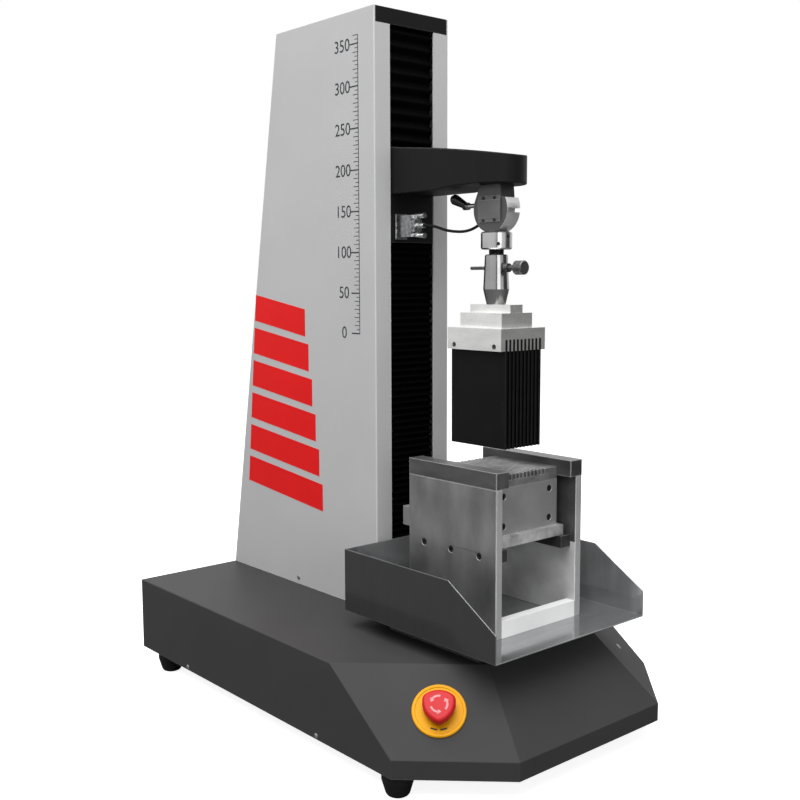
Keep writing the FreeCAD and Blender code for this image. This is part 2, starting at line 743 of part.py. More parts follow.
def make_motor():
    half = g.motor_width / 2
    body = new_body("Motor")
    corner = 8
    low, high = g.motor_back - half, g.motor_back + half
    outline = [(-half + corner, low), (half - corner, low), (half, low + corner),
               (half, high - corner), (half - corner, high), (-half + corner, high),
               (-half, high - corner), (-half, low + corner)]
    pad(body, "XY", outline, bed_level, g.motor_height)
    pocket(body, "XY", ("circle", 0, g.motor_back, g.motor_shaft_radius + g.run_gap), bed_level,
           30)
    encoder = pad(body, "XY", ("circle", 0, g.motor_back, half - 6), bed_level + g.motor_height,
                  18)
    body.Tip = encoder
    keep("motor", body)


def toothed_wheel(name, teeth, hub_radius, shaft_radius, shaft_low, shaft_high):
    """A toothed belt pulley on its shaft, between two flanges."""
    pitch_radius = teeth * g.belt_pitch / (2 * math.pi)
    body = new_body(name)
    low = g.pulley_bottom
    pad(body, "XY", ("circle", 0, 0, pitch_radius), low, g.pulley_width)
    groove = body.newObject("PartDesign::Pocket", name + "Groove")
    depth, half = 1.2, g.belt_pitch * 0.3
    groove.Profile = sketch_on(body, "XY", [
        (pitch_radius - depth, -half * 0.7), (pitch_radius + 1, -half),
        (pitch_radius + 1, half), (pitch_radius - depth, half * 0.7)], low)
    groove.Reversed = True
    bind(groove, "Length", g.pulley_width)
    ring = body.newObject("PartDesign::PolarPattern", name + "Teeth")
    ring.Originals = [groove]
    ring.Axis = (origin_feature(body, "Z_Axis"), [""])
    ring.Angle = 360
    ring.Occurrences = int(number(teeth))
    body.Tip = ring
    for z in (low - g.pulley_flange, low + g.pulley_width):
        pad(body, "XY", ("circle", 0, 0, pitch_radius + 1), z, g.pulley_flange)
    if hub_radius is not None:
        pocket(body, "XY", ("circle", 0, 0, hub_radius), low - g.pulley_flange,
               g.pulley_width + g.pulley_flange * 2)
    if shaft_radius is not None:
        pad(body, "XY", ("circle", 0, 0, shaft_radius), shaft_low, shaft_high - shaft_low)
    return body


def make_drive():
    """The ball screw with its pulley, the motor's pulley and the belt round both."""
    low_end = g.pulley_bottom - g.pulley_flange - 2
    shoulder = foot_block_top + g.bearing_height + 2
    top_shoulder = screw_end - g.bearing_height - 2
    screw = turned("BallScrew", [
        (0, low_end), (g.journal_radius, low_end), (g.journal_radius, shoulder),
        (g.screw_radius, shoulder), (g.screw_radius, top_shoulder),
        (g.journal_radius, top_shoulder), (g.journal_radius, screw_end + 2),
        (0, screw_end + 2)])
    keep("ball_screw", place(screw, (0, g.screw_back, 0)))
    pulley = toothed_wheel("ScrewPulley", g.screw_teeth, g.journal_radius, None, 0, 0)
    keep("screw_pulley", place(pulley, (0, g.screw_back, 0)))
    small = toothed_wheel("MotorPulley", g.motor_teeth, None, g.motor_shaft_radius,
                          g.pulley_bottom - g.pulley_flange, bed_level + 25)
    keep("motor_pulley", place(small, (0, g.motor_back, 0)))
    radii = [number(t) * sizes["belt_pitch"] / (2 * math.pi) + sizes["seat_gap"]
             for t in (g.screw_teeth, g.motor_teeth)]
    centres = [FreeCAD.Vector(0, sizes["screw_back"], 0), FreeCAD.Vector(0, sizes["motor_back"], 0)]
    low = sizes["pulley_bottom"] + sizes["seat_gap"]
    height = sizes["pulley_width"] - sizes["seat_gap"] * 2
    inner = belt_loop(centres, radii, low, height)
    outer = belt_loop(centres, [r + sizes["belt_thickness"] for r in radii], low, height)
    belt = doc.addObject("Part::Feature", "DriveBelt")
    belt.Shape = outer.cut(inner)
    keep("drive_belt", belt)


def belt_loop(centres, radii, low, height):
    """The solid inside a belt that runs round two circles of different radius."""
    apart = centres[1].y - centres[0].y
    lean = math.asin((radii[0] - radii[1]) / apart)
    along = (math.cos(lean), math.sin(lean))
    spots = []
    for centre, radius, tip in zip(centres, radii, (-1, 1)):
        spots.append((FreeCAD.Vector(along[0] * radius, centre.y + along[1] * radius, low),
                      FreeCAD.Vector(0, centre.y + tip * radius, low),
                      FreeCAD.Vector(-along[0] * radius, centre.y + along[1] * radius, low)))
    (right, front, left), (far_right, rear, far_left) = spots
    wire = Part.Wire([Part.Arc(left, front, right).toShape(),
                      Part.LineSegment(right, far_right).toShape(),
                      Part.Arc(far_right, rear, far_left).toShape(),
                      Part.LineSegment(far_left, left).toShape()])
    return Part.Face(wire).extrude(FreeCAD.Vector(0, 0, height))


def make_electronics():
    """A drive board on posts at the left, a power supply with vents at the right."""
    x, y = g.board_inset - base_half, -g.board_front
    width = base_half - g.board_inset - g.bed_width / 2 - g.board_gap
    length, edge = g.board_length, g.board_margin
    board_z = plate_level + g.board_lift
    top = board_z + g.board_thickness
    board = box("Board", (x, y, board_z), (width, length, g.board_thickness))
    posts = [rod("Post", (px, py, plate_level), (0, 0, 1), edge / 2, g.board_lift)
             for px in (x + edge, x + width - edge) for py in (y + edge, y + length - edge)]
    parts = [box("Transformer", (x + width * 0.09, y + length * 0.5, top),
                 (width * 0.38, length * 0.25, g.board_lift * 3)),
             box("DriveChip", (x + width * 0.55, y + length * 0.12, top),
                 (width * 0.29, width * 0.29, g.board_lift * 0.75)),
             box("HeatSink", (x + width * 0.6, y + length * 0.68, top),
                 (width * 0.31, length * 0.22, g.board_lift * 2.2)),
             box("Terminal", (x + width * 0.04, y + length * 0.15, top),
                 (width * 0.15, length * 0.25, g.board_lift * 1.4))]
    keep("controller_board", fuse("ControllerBoard", board, *posts, *parts))
    supply = new_body("PowerSupply")
    right, front = base_half - g.supply_inset, -g.supply_front
    left = g.bed_width / 2 + g.supply_gap
    pad(supply, "XY", rectangle(left, front, right, front + g.supply_length), plate_level,
        g.supply_height)
    vent_low = plate_level + (g.supply_height - g.vent_height) / 2
    vent = pocket(supply, "XZ", rectangle(left + g.vent_step, vent_low,
                                          left + g.vent_step + g.vent_width,
                                          vent_low + g.vent_height), front, g.vent_width)
    step = number(g.vent_step)
    repeat(supply, vent, "X", g.vent_step, int((number(right - left) - step) / step))
    keep("power_supply", supply)


def make_inlet():
    """The mains inlet with its three contacts, and over it the switch's well."""
    rear = base_front
    half_w, half_h = g.inlet_width / 2, g.inlet_height / 2
    x, z = inlet_x, g.inlet_z
    body = new_body("Inlet")
    gap = g.seat_gap
    pad(body, "XZ", rectangle(x - half_w + gap, z - half_h + gap, x + half_w - gap,
                              z + half_h - gap), rear - 24, 24)
    well = rectangle(x - 12, z - half_h + 3, x + 12, z - half_h + 19)
    pocket(body, "XZ", well, rear - 16, 16)
    rocker_z = rocker_middle()[2]
    half_rocker_w = g.rocker_width / 2 + gap
    half_rocker_h = g.rocker_height / 2 + gap
    pocket(body, "XZ", rectangle(x - half_rocker_w, rocker_z - half_rocker_h,
                                 x + half_rocker_w, rocker_z + half_rocker_h), rear - 12, 12)
    pocket(body, "YZ", ("circle", rocker_middle()[1], rocker_z, g.pivot_radius + g.run_gap),
           x - half_rocker_w - pivot_sink(), half_rocker_w * 2 + pivot_sink() * 2)
    contact_z = z - half_h + 8
    for dx, dz in ((-7, 0), (7, 0), (0, 4)):
        pad(body, "XZ", rectangle(x + dx - 1, contact_z + dz - 2, x + dx + 1,
                                  contact_z + dz + 2), rear - 17, 14)
    keep("mains_inlet", body)


def pivot_sink():
    """How far the rocker's pivot reaches into the well's sides."""
    return g.pivot_radius


def rocker_middle():
    return (inlet_x, base_front - 7.5, g.inlet_z + g.inlet_height / 2 - g.rocker_height / 2 - 4)


def make_rocker():
    """The switch's rocker: a shallow V that tips about its middle."""
    x, y, z = rocker_middle()
    body = new_body("Rocker")
    half_h = g.rocker_height / 2 - 0.6
    lean = 1.3
    wide_pad(body, "YZ", [(-2, -half_h + 3), (2.5, -half_h), (4.6 + lean, -half_h),
                          (3.6, 0), (4.6 + lean, half_h), (2.5, half_h), (-2, half_h - 3)],
             g.rocker_width)
    wide_pad(body, "YZ", ("circle", 0, 0, g.pivot_radius),
             g.rocker_width + g.seat_gap * 2 + pivot_sink() * 2 - 0.4)
    tilt = FreeCAD.Rotation(FreeCAD.Vector(1, 0, 0), 8)
    keep("power_rocker", place(body, (x, y, z), tilt))


def make_stop_button():
    """The emergency stop: yellow plate and contact block fixed, stem and head that move."""
    upright = turn_to(stop_normal())
    plate_high = g.stop_plate_height
    inner = g.stop_stem_radius + g.run_gap
    plate = turned("StopPlate", [
        (inner, 0), (g.stop_plate_radius, 0), (g.stop_plate_radius, plate_high - 1),
        (g.stop_plate_radius - 1, plate_high), (g.stop_plate_radius - 3, plate_high),
        (g.stop_plate_radius - 4, plate_high - 0.8), (16, plate_high - 0.8),
        (13, plate_high + 2.5), (inner, plate_high + 2.5)])
    keep("stop_plate", place(plate, stop_spot(0), upright))
    block = turned("StopBlock", [
        (0, -32), (15, -32), (15, -g.cover_wall - 6), (g.stop_hole - 0.4, -g.cover_wall - 6),
        (g.stop_hole - 0.4, -0.2), (inner, -0.2), (inner, -16 - g.stop_travel),
        (0, -16 - g.stop_travel)])
    keep("stop_contact_block", place(block, stop_spot(0), upright))
    stem = turned("StopStem", [
        (0, -14), (g.stop_stem_radius, -14), (g.stop_stem_radius, g.stop_rise + 0.2),
        (g.stop_stem_radius - 3, g.stop_rise + 0.2), (g.stop_stem_radius - 3, g.stop_rise + 3),
        (0, g.stop_rise + 3)])
    keep("stop_stem", place(stem, stop_spot(0), upright))
    head = new_body("StopHead")
    low = g.stop_rise + 0.5
    way = stop_normal()
    downhill = math.atan2(number(way[1]), number(way[0]))
    pad(head, "XY", three_sided(g.stop_head_width, downhill), low, g.stop_head_height)
    bored = pocket(head, "XY", ("circle", 0, 0, g.stop_stem_radius - 3 + g.run_gap), low, 3)
    doc.recompute()
    top = number(low + g.stop_head_height) - 0.1
    soft = head.newObject("PartDesign::Fillet", "StopHeadRound")
    soft.Base = (bored, edges_like(bored.Shape, lambda at, way: at.z > top))
    bind(soft, "Radius", 4)
    keep("stop_head", place(head, stop_spot(0), upright))


def three_sided(width, corner):
    """A triangle of bulging sides and round corners, each arc tangent to the next, with a
    corner towards the given angle."""
    corner_out, corner_radius, side_radius = 0.36, 0.22, 0.75
    side_back = math.sqrt((side_radius - corner_radius) ** 2 - 0.75 * corner_out ** 2)
    side_back -= corner_out / 2
    swing = math.atan2(corner_out * math.sqrt(0.75), corner_out / 2 + side_back)
    points = []
    for k in range(3):
        facing = corner + math.radians(120 * k - 60)
        middle = (-side_back * math.cos(facing), -side_back * math.sin(facing))
        for angle, radius in ((facing - swing, side_radius), (facing + swing, corner_radius)):
            points.append((width * (middle[0] + side_radius * math.cos(angle)),
                           width * (middle[1] + side_radius * math.sin(angle)),
                           width * radius))
    return points


def make_lamp():
    lamp = turned("StatusLamp", [
        (0, -g.cover_wall - 3), (g.lamp_radius + 2, -g.cover_wall - 3),
        (g.lamp_radius + 2, -g.cover_wall - 0.3), (g.lamp_radius - 0.2, -g.cover_wall - 0.3),
        (g.lamp_radius - 0.2, 0.4), (g.lamp_radius - 1.4, 1.1), (0, 1.3)])
    keep("status_lamp", place(lamp, lamp_spot(0), turn_to(lamp_normal())))


def make_tray():
    """A folded stainless tray: high at the back and sides, cut down to the front."""
    half, sheet_gap = g.tray_width / 2, g.tray_sheet
    floor, low = tray_floor, tray_floor - g.tray_sheet
    top = low + g.tray_wall
    body = new_body("Tray")
    wide_pad(body, "YZ", [(-g.tray_front, low), (-g.tray_rear, low), (-g.tray_rear, top),
                          (-g.tray_bend, top), (-g.tray_front, low + g.tray_front_wall)],
             g.tray_width)
    wide_pocket(body, "YZ", [(-g.tray_front - 1, floor), (-g.tray_rear - sheet_gap, floor),
                             (-g.tray_rear - sheet_gap, top + 1), (-g.tray_front - 1, top + 1)],
                g.tray_width - sheet_gap * 2)
    keep("drip_tray", body)


def make_cell_frame():
    """The shear cell's frame: side plates, dark top bars, cross bars, rear tie and ledges."""
    low = tray_floor
    top = low + g.side_plate_height
    plate = new_body("CellPlate")
    block = pad(plate, "YZ", rectangle(frame_front, low, frame_rear, top), -frame_half,
                g.side_plate)
    doc.recompute()
    eased = plate.newObject("PartDesign::Chamfer", "CellPlateEase")
    eased.Base = (block, edges_like(block.Shape, lambda at, way: abs(way.z) > 0.9))
    bind(eased, "Size", 0.8)
    sinks = []
    for y in ledge_screw_rows():
        sinks.append(cone("Sink", (-frame_half - 0.01, y, ledge_middle()), (1, 0, 0), 4.2, 2.4,
                          3.5))
        sinks.append(rod("Bore", (-frame_half, y, ledge_middle()), (1, 0, 0), 2.4,
                         g.side_plate + 1))
    left = keep("cell_plate_left", cut("CellPlateLeft", plate, *sinks))
    keep("cell_plate_right", mirror("CellPlateRight", left))

    bar_x = frame_half - g.top_bar_width
    bars = []
    for side in (-1, 1):
        body = new_body("TopBar")
        x_low = -frame_half if side < 0 else bar_x
        pad(body, "XY", rectangle(x_low, frame_front, x_low + g.top_bar_width, frame_rear), top,
            g.top_bar_height)
        bars.append(body)
    keep("cell_top_bars", group("TopBars", bars))

    inner = frame_half - g.side_plate
    cross = [box("CrossBar", (-inner, y, low), (inner * 2, g.cross_bar_depth,
                                                g.cross_bar_height))
             for y in (frame_front, frame_rear - g.cross_bar_depth)]
    cross.append(box("TieBar", (-frame_half, frame_rear, g.tie_bottom),
                     (g.frame_width, g.tie_depth, g.tie_height)))
    keep("cell_cross_bars", group("CrossBars", cross))

    ledges, screws = [], []
    for side in (-1, 1):
        x_low = -inner if side < 0 else inner - g.ledge_width
        ledge = box("Ledge", (x_low, frame_front + 8, g.floor_level - g.ledge_height),
                    (g.ledge_width, g.frame_depth - 16, g.ledge_height))
        threads = [rod("LedgeThread", (side * (inner + 1), y, ledge_middle()), (-side, 0, 0), 2.2,
                       10) for y in ledge_screw_rows()]
        ledges.append(cut("LedgeDrilled", ledge, *threads))
        for y in ledge_screw_rows():
            screws.append(place(countersunk_screw(g.cell_screw_length),
                                (side * frame_half, y, ledge_middle()),
                                turn_to((-side, 0, 0))))
    keep("cell_ledges", group("Ledges", ledges))
    for side in (-1, 1):
        for z in plate_bolt_levels():
            screws.append(place(countersunk_screw(g.cell_screw_length),
                                (side * wall_middle(), box_front(), z), turn_to((0, 1, 0))))
    keep("cell_screws", group("CellScrews", screws))


def ledge_middle():
    return g.floor_level - g.ledge_height / 2


def ledge_screw_rows():
    return (load_y - g.ledge_screw_step, load_y, load_y + g.ledge_screw_step)


def countersunk_screw(length):
    """A countersunk screw with a round socket, from its face inwards along +Z."""
    return turned("Countersunk", [(0, 2.2), (1.7, 2.2), (1.7, 0.3), (3.9, 0.3), (2.2, 3.4),
                                  (2.2, length), (0, length)])


def plate_bolt_levels():
    return (g.floor_level + g.plate_bolt_lower, g.floor_level + g.plate_bolt_upper)


def wall_middle():
    return g.box_inner_width / 2 + g.box_side / 2


def box_front():
    return load_y - g.box_inner_depth / 2 - g.box_wall


def grid(name, low, height, front, rail, outer, tooth=0):
    """A slotted grid: bars between the blades, a block at each side and a rail at each end.
    Where there are teeth, the rails are that much lower and carry the bars' ends."""
    rear = load_y * 2 - front
    bar = g.blade_spacing - g.blade_thickness - g.blade_gap * 2
    solids = []
    for k in range(int(sizes["blade_count"]) + 1):
        middle = g.blade_spacing * (k - sizes["blade_count"] / 2)
        solids.append(box(name + "Bar", (middle - bar / 2, front + rail, low),
                          (bar, rear - front - rail * 2, height)))
    edge = g.blade_spacing * g.blade_count / 2 + bar / 2
    for x in (-outer, edge):
        solids.append(box(name + "Side", (x, front + rail, low),
                          (outer - edge, rear - front - rail * 2, height)))
    for y in (front, rear - rail):
        solids.append(box(name + "Rail", (-outer, y, low), (outer * 2, rail, height - tooth)))
        if tooth == 0:
            continue
        for k in range(int(sizes["blade_count"]) + 1):
            middle = g.blade_spacing * (k - sizes["blade_count"] / 2)
            solids.append(box(name + "Tooth", (middle - bar / 2, y, low + height - tooth),
                              (bar, rail, tooth)))
        for x in (-outer, edge):
            solids.append(box(name + "End", (x, y, low + height - tooth),
                              (outer - edge, rail, tooth)))
    return group(name, solids)


def make_cell_box():
    """The sample box on its slotted floor, under a slotted guide that leads the blades in."""
    keep("floor_grid", grid("FloorGrid", g.floor_level, g.floor_thickness,
                            frame_front + 13.5, g.floor_rail, frame_half - 16))
    keep("guide_grid", grid("GuideGrid", box_top, g.guide_height, box_front(), g.box_wall,
                            g.box_width / 2, g.tooth_height))
    front, inner = box_front(), g.box_inner_width / 2
    walls = []
    for y in (front, load_y + g.box_inner_depth / 2):
        plate = box("BoxPlate", (-g.box_width / 2, y, box_floor),
                    (g.box_width, g.box_wall, g.box_height))
        if y is front:
            sinks = []
            for side in (-1, 1):
                for z in plate_bolt_levels():
                    at = (side * wall_middle(), y, z)
                    sinks.append(cone("BoxSink", (at[0], y - 0.01, z), (0, 1, 0), 4.2, 2.4, 3.5))
                    sinks.append(rod("BoxBore", at, (0, 1, 0), 2.4, g.box_wall + 1))
            plate = cut("BoxPlateDrilled", plate, *sinks)
        walls.append(plate)
    for side in (-1, 1):
        x = -inner - g.box_side if side < 0 else inner
        block = box("BoxSide", (x, front + g.box_wall, box_floor),
                    (g.box_side, g.box_inner_depth, g.box_height))
        threads = [rod("BoxThread", (side * wall_middle(), front, z), (0, 1, 0), 2.2, 18)
                   for z in plate_bolt_levels()]
        walls.append(cut("BoxSideDrilled", block, *threads))
    keep("shear_box_walls", group("ShearBox", walls))


def make_carriage():
    low, high = carriage_bottom, g.carriage_height
    half, wide = g.panel_width / 2, g.carriage_width / 2
    front, step_y, back = -g.carriage_front, -g.carriage_step, g.carriage_back
    body = new_body("Carriage")
    pad(body, "XY", [(-half, front), (half, front), (half, step_y), (wide, step_y),
                     (wide, back), (-wide, back), (-wide, step_y), (-half, step_y)], low, high)
    clear = g.nut_radius + 0.4
    pocket(body, "XY", rectangle(-clear, g.screw_back - clear, clear, back + 1), low, high)
    keep("carriage_plate", body)

    nut = turned("BallNut", [
        (g.screw_radius + g.run_gap, -g.nut_flange), (g.nut_flange_radius, -g.nut_flange),
        (g.nut_flange_radius, 0), (g.nut_radius, 0), (g.nut_radius, g.nut_length),
        (g.screw_radius + g.run_gap, g.nut_length)])
    keep("ball_nut", place(nut, (0, g.screw_back, low)))

    blocks = []
    for side in (-1, 1):
        middle = side * g.rail_offset
        for z in (low + 5, low + high - 5 - g.block_length):
            block = new_body("GuideBlock")
            half = g.block_width / 2
            inside = g.rail_width / 2 + g.slide_gap
            rail_front = g.spine_front - g.rail_height - g.slide_gap
            block_back = g.spine_front - 2
            pad(block, "XY", [(middle - half, back), (middle + half, back),
                              (middle + half, block_back), (middle + inside, block_back),
                              (middle + inside, rail_front), (middle - inside, rail_front),
                              (middle - inside, block_back), (middle - half, block_back)],
                z, g.block_length)
            blocks.append(block)
    keep("guide_blocks", group("GuideBlocks", blocks))


def make_arm():
    half = g.arm_width / 2
    tip, root = load_y - half, -g.carriage_front
    body = new_body("Arm")
    wide_pad(body, "YZ", [(tip, arm_tip_under), (load_y + 33, arm_tip_under),
                          (-g.arm_haunch, arm_root_under), (root, arm_root_under),
                          (root, arm_root_top, g.arm_crown), (tip, arm_tip_top)],
             g.arm_width)
    beyond = 5
    low, high = arm_root_under - beyond, 90
    left = [(-half - beyond, tip - beyond), (0, tip - beyond), (0, tip, -half),
            (-half, load_y), (-half - beyond, load_y)]
    right = [(half + beyond, load_y), (half, load_y, -half), (0, tip), (0, tip - beyond),
             (half + beyond, tip - beyond)]
    pocket(body, "XY", left, low, high)
    nose = pocket(body, "XY", right, low, high)
    doc.recompute()
    front = number(root) - 1
    eased = body.newObject("PartDesign::Fillet", "ArmEase")
    eased.Base = (nose, edges_like(
        nose.Shape, lambda at, way: at.y < front and abs(way.z) < 0.5 and abs(at.x) > 5))
    bind(eased, "Radius", g.arm_edge)
    keep("arm", body)


def make_load_cell():
    """A ring-shaped load cell: a disc with a raised neck, slots in its rim and a stud below."""
    half, radius = g.cell_thickness / 2, g.cell_radius
    middle, top = cell_middle, arm_tip_under
    drop = middle - collar_top
    foot = root_of(radius * radius - drop * drop)
    neck, shoulder = g.cell_neck_width / 2, g.cell_shoulder_width / 2
    body = new_body("LoadCell")
    wide_pad(body, "YZ", [
        (load_y - foot, collar_top), (load_y + foot, collar_top, radius),
        (load_y + shoulder, cell_shoulder), (load_y + neck, top), (load_y - neck, top),
        (load_y - neck - 1.5, cell_shoulder), (load_y - shoulder, cell_shoulder, radius)],
        g.cell_thickness)
    for low in (load_y - radius - 1, load_y + radius - g.cell_slot_depth):
        pocket(body, "YZ", rectangle(low, cell_slot_middle - g.cell_slot / 2,
                                     low + g.cell_slot_depth + 1,
                                     cell_slot_middle + g.cell_slot / 2),
               -half + g.cell_skin, g.cell_thickness)
    pad(body, "XY", ("circle", 0, load_y, g.journal_radius), collar_top - 8.4, 12)
    pad(body, "XZ", ("circle", 0, lever_height, g.stud_boss), load_y + radius - 4,
        g.lever_stem / 2 - 4)
    bore = g.lever_stem_radius + g.run_gap
    pocket(body, "XZ", ("circle", 0, lever_height, bore), rear_lever_face() - 4, 6)
    pocket(body, "YZ", ("circle", load_y + g.lever_shift, lever_height + g.lever_lift, bore),
           half - 4, 6)
    gland = rod("Gland", gland_spot(23), gland_way(), 3.2, 7)
    keep("load_cell", fuse("LoadCellGland", body, gland))

    thick = g.badge_thickness
    badge = new_body("Badge")
    y_half, z_half = g.badge_width / 2, g.badge_height / 2
    pad(badge, "YZ", rectangle(load_y - y_half, middle - z_half, load_y + y_half,
                               middle + z_half), -half - thick, thick)
    raised = pad(badge, "YZ", rectangle(load_y - y_half, middle - g.badge_pad / 2,
                                        load_y + y_half, middle + g.badge_pad / 2),
                 -half - thick - 0.6, 0.6)
    badge.Tip = raised
    holes = [rod("BadgeHole", (-half - 5, load_y + y, middle + z), (1, 0, 0), 1.1, 6)
             for y in (-g.badge_screw_y, g.badge_screw_y)
             for z in (-g.badge_screw_z, g.badge_screw_z)]
    keep("load_cell_plate", cut("BadgeDrilled", badge, *holes))
    screws = []
    for y in (-g.badge_screw_y, g.badge_screw_y):
        for z in (-g.badge_screw_z, g.badge_screw_z):
            screw = turned("BadgeScrew", [(0, 0), (1.1, 0), (1.1, thick), (1.9, thick),
                                          (1.9, thick + 0.7, 1.5), (1, thick + 1.3),
                                          (0, thick + 1.3)])
            screws.append(place(screw, (-half, load_y + y, middle + z), turn_to((-1, 0, 0))))
    keep("plate_screws", group("PlateScrews", screws))


def gland_way():
    return (0, math.cos(math.radians(30)), -math.sin(math.radians(30)))


def gland_spot(out):
    way = gland_way()
    return (0, load_y + out * way[1], cell_middle + out * way[2])


def rear_lever_face():
    return load_y + g.cell_radius - 4 + g.lever_stem / 2 - 4


def make_levers():
    """Clamp levers: a stem in the load cell and a pear-shaped grip leaning away from it."""
    face = rear_lever_face()
    rear = lever("RearLever", (0, face - 3.5, lever_height), (0, 1, 0), g.lever_stem + 3,
                 (-4.9, 15, 8.4))
    keep("clamp_lever_rear", rear)
    side = lever("SideLever", (g.cell_thickness / 2 - 3.5, load_y + g.lever_shift,
                               lever_height + g.lever_lift),
                 (1, 0, 0), 9, (14, 3, 10))
    keep("clamp_lever_side", side)


def lever(name, start, way, stem, grip):
    hub = tuple(at + part * (stem - 2) for at, part in zip(start, way))
    long = math.sqrt(sum(part ** 2 for part in grip))
    pear = turned(name + "Grip", [(0, -2), (3.4, -2), (4.1, 2), (6.2, long - 1, 6.4),
                                  (4.2, long + 3.8, 5), (1.5, long + 5.4), (0, long + 5.4)])
    place(pear, hub, turn_to(grip))
    rods = [rod(name + "Stem", start, way, g.lever_stem_radius, stem),
            rod(name + "Hub", tuple(at + part * (stem - 5) for at, part in zip(start, way)),
                way, 4.4, 7)]
    return fuse(name, *rods, pear)


def make_coupling():
    """The clamped collar on the load cell's stud, a dark neck, and a barrel that holds the
    head's spigot with a cross pin."""
    axis = (0, load_y, 0)
    bore = g.journal_radius + 0.1
    low, top = collar_bottom, collar_top
    edge = 1.5
    collar = turned("Collar", [(bore, low), (g.collar_radius - edge, low),
                               (g.collar_radius, low + edge), (g.collar_radius, top - edge),
                               (g.collar_radius - edge, top), (bore, top)])
    place(collar, axis)
    skew = math.radians(-90 - 39)
    holes = [rod("CollarHole", (0, load_y, top - 6), (0, -1, 0), 2.1, 30),
             rod("CollarHole", (0, load_y, low + 6), (math.cos(skew), math.sin(skew), 0), 2.1,
                 30)]
    keep("coupling_collar", cut("CollarDrilled", collar, *holes))
    screws = []
    for z, way in ((top - 6, (0, -1, 0)), (low + 6, (math.cos(skew), math.sin(skew), 0))):
        screw = turned("SetScrew", [(0, bore), (2, bore), (2, g.collar_radius - 1.2),
                                    (1.1, g.collar_radius - 1.2), (1.1, g.collar_radius - 4),
                                    (0, g.collar_radius - 4)])
        screws.append(place(screw, (0, load_y, z), turn_to(way)))
    keep("collar_screws", group("SetScrews", screws))
    stud_gap = 0.4
    neck = turned("Neck", [
        (0, barrel_top - 8), (g.journal_radius, barrel_top - 8),
        (g.journal_radius, barrel_top), (g.neck_radius, barrel_top), (g.neck_radius, low),
        (g.journal_radius, low), (g.journal_radius, top - 8.4 - stud_gap),
        (0, top - 8.4 - stud_gap)])
    keep("coupling_neck", place(neck, axis))
    spigot_bore = g.spigot_radius + 0.1
    barrel = turned("Barrel", [
        (spigot_bore, head_top_level), (g.barrel_foot_radius, head_top_level),
        (g.barrel_belly_radius, barrel_belly), (g.barrel_top_radius, barrel_top - 1),
        (g.barrel_top_radius - 1, barrel_top), (bore, barrel_top), (bore, barrel_top - 8.2),
        (spigot_bore, barrel_top - 8.2)])
    place(barrel, axis)
    cross = rod("PinBore", (0, load_y - 30, pin_height), (0, 1, 0), g.pin_radius + g.run_gap,
                60)
    keep("coupling_barrel", cut("BarrelDrilled", barrel, cross))
    reach, tail = g.pin_reach, g.pin_tail
    face = 14.3
    pin = turned("Pin", [
        (0, -tail), (g.pin_radius - 0.5, -tail), (g.pin_radius, -tail + 0.5),
        (g.pin_radius, face), (5, face), (5, face + 6), (3, face + 6), (3, reach),
        (g.knob_radius - 1, reach), (g.knob_radius, reach + 1),
        (g.knob_radius, reach + g.knob_length - 1), (g.knob_radius - 1, reach + g.knob_length),
        (0, reach + g.knob_length)])
    keep("lock_pin", place(pin, (0, load_y, pin_height), turn_to((0, -1, 0))))


def make_blade_head():
    """The stepped head block with its spigot, the slotted comb and the blades it clamps."""
    body = new_body("HeadStack")
    pad(body, "XY", ("circle", 0, load_y, g.spigot_radius), head_top_level - 5,
        barrel_top - 8.4 - head_top_level + 5)
    middle = comb_top + g.step_two
    for low, high, width, depth in ((middle, g.step_one, g.first_width, g.first_depth),
                                    (comb_top, g.step_two, g.second_width, g.second_depth)):
        pad(body, "XY", rectangle(-width / 2, load_y - depth / 2, width / 2,
                                  load_y + depth / 2), low, high)
    cross = rod("SpigotBore", (0, load_y - 20, pin_height), (0, 1, 0), g.pin_radius + 0.1, 40)
    keep("head_stack", cut("HeadStackDrilled", body, cross))

    comb = new_body("Comb")
    half_w, half_d = g.comb_width / 2, g.comb_depth / 2
    pad(comb, "XY", rectangle(-half_w, load_y - half_d, half_w, load_y + half_d), comb_bottom,
        g.comb_height)
    first = g.blade_spacing * (1 - g.blade_count) / 2
    slot = (g.blade_thickness + 0.1) / 2
    groove = pocket(comb, "XZ", rectangle(first - slot, comb_bottom, first + slot,
                                          comb_bottom + g.comb_slot),
                    load_y - half_d, g.comb_depth)
    repeat(comb, groove, "X", g.blade_spacing, g.blade_count)
    holes, heads, blades = [], [], []
    bolt_z = comb_bottom + g.comb_bolt_rise
    for side in (-1, 1):
        y = load_y + side * g.comb_bolt_spread / 2
        holes.append(rod("BoltHole", (-half_w - 1, y, bolt_z), (1, 0, 0), g.comb_bolt_radius,
                         g.comb_width + 2))
        face, socket = half_w - g.comb_bolt_sink, 2
        bolt = g.comb_bolt_radius - 0.05
        heads.append(turned("CombBolt", [(0, -face), (1.5, -face), (1.5, socket - face),
                                         (bolt, socket - face), (bolt, face), (0, face)]))
        place(heads[-1], (0, y, bolt_z), turn_to((1, 0, 0)))
    keep("head_comb", cut("CombDrilled", comb, *holes))
    keep("comb_bolts", group("CombBolts", heads))
    for k in range(int(sizes["blade_count"])):
        x = first + g.blade_spacing * k - g.blade_thickness / 2
        blade = box("Blade", (x, load_y - g.blade_width / 2, blade_bottom),
                    (g.blade_thickness, g.blade_width,
                     comb_bottom + g.comb_slot - blade_bottom))
        drills = [rod("BladeHole", (x - 1, load_y + side * g.comb_bolt_spread / 2, bolt_z),
                      (1, 0, 0), g.comb_bolt_radius, g.blade_thickness + 2)
                  for side in (-1, 1)]
        blades.append(cut("BladeDrilled", blade, *drills))
    keep("shear_blades", group("Blades", blades))


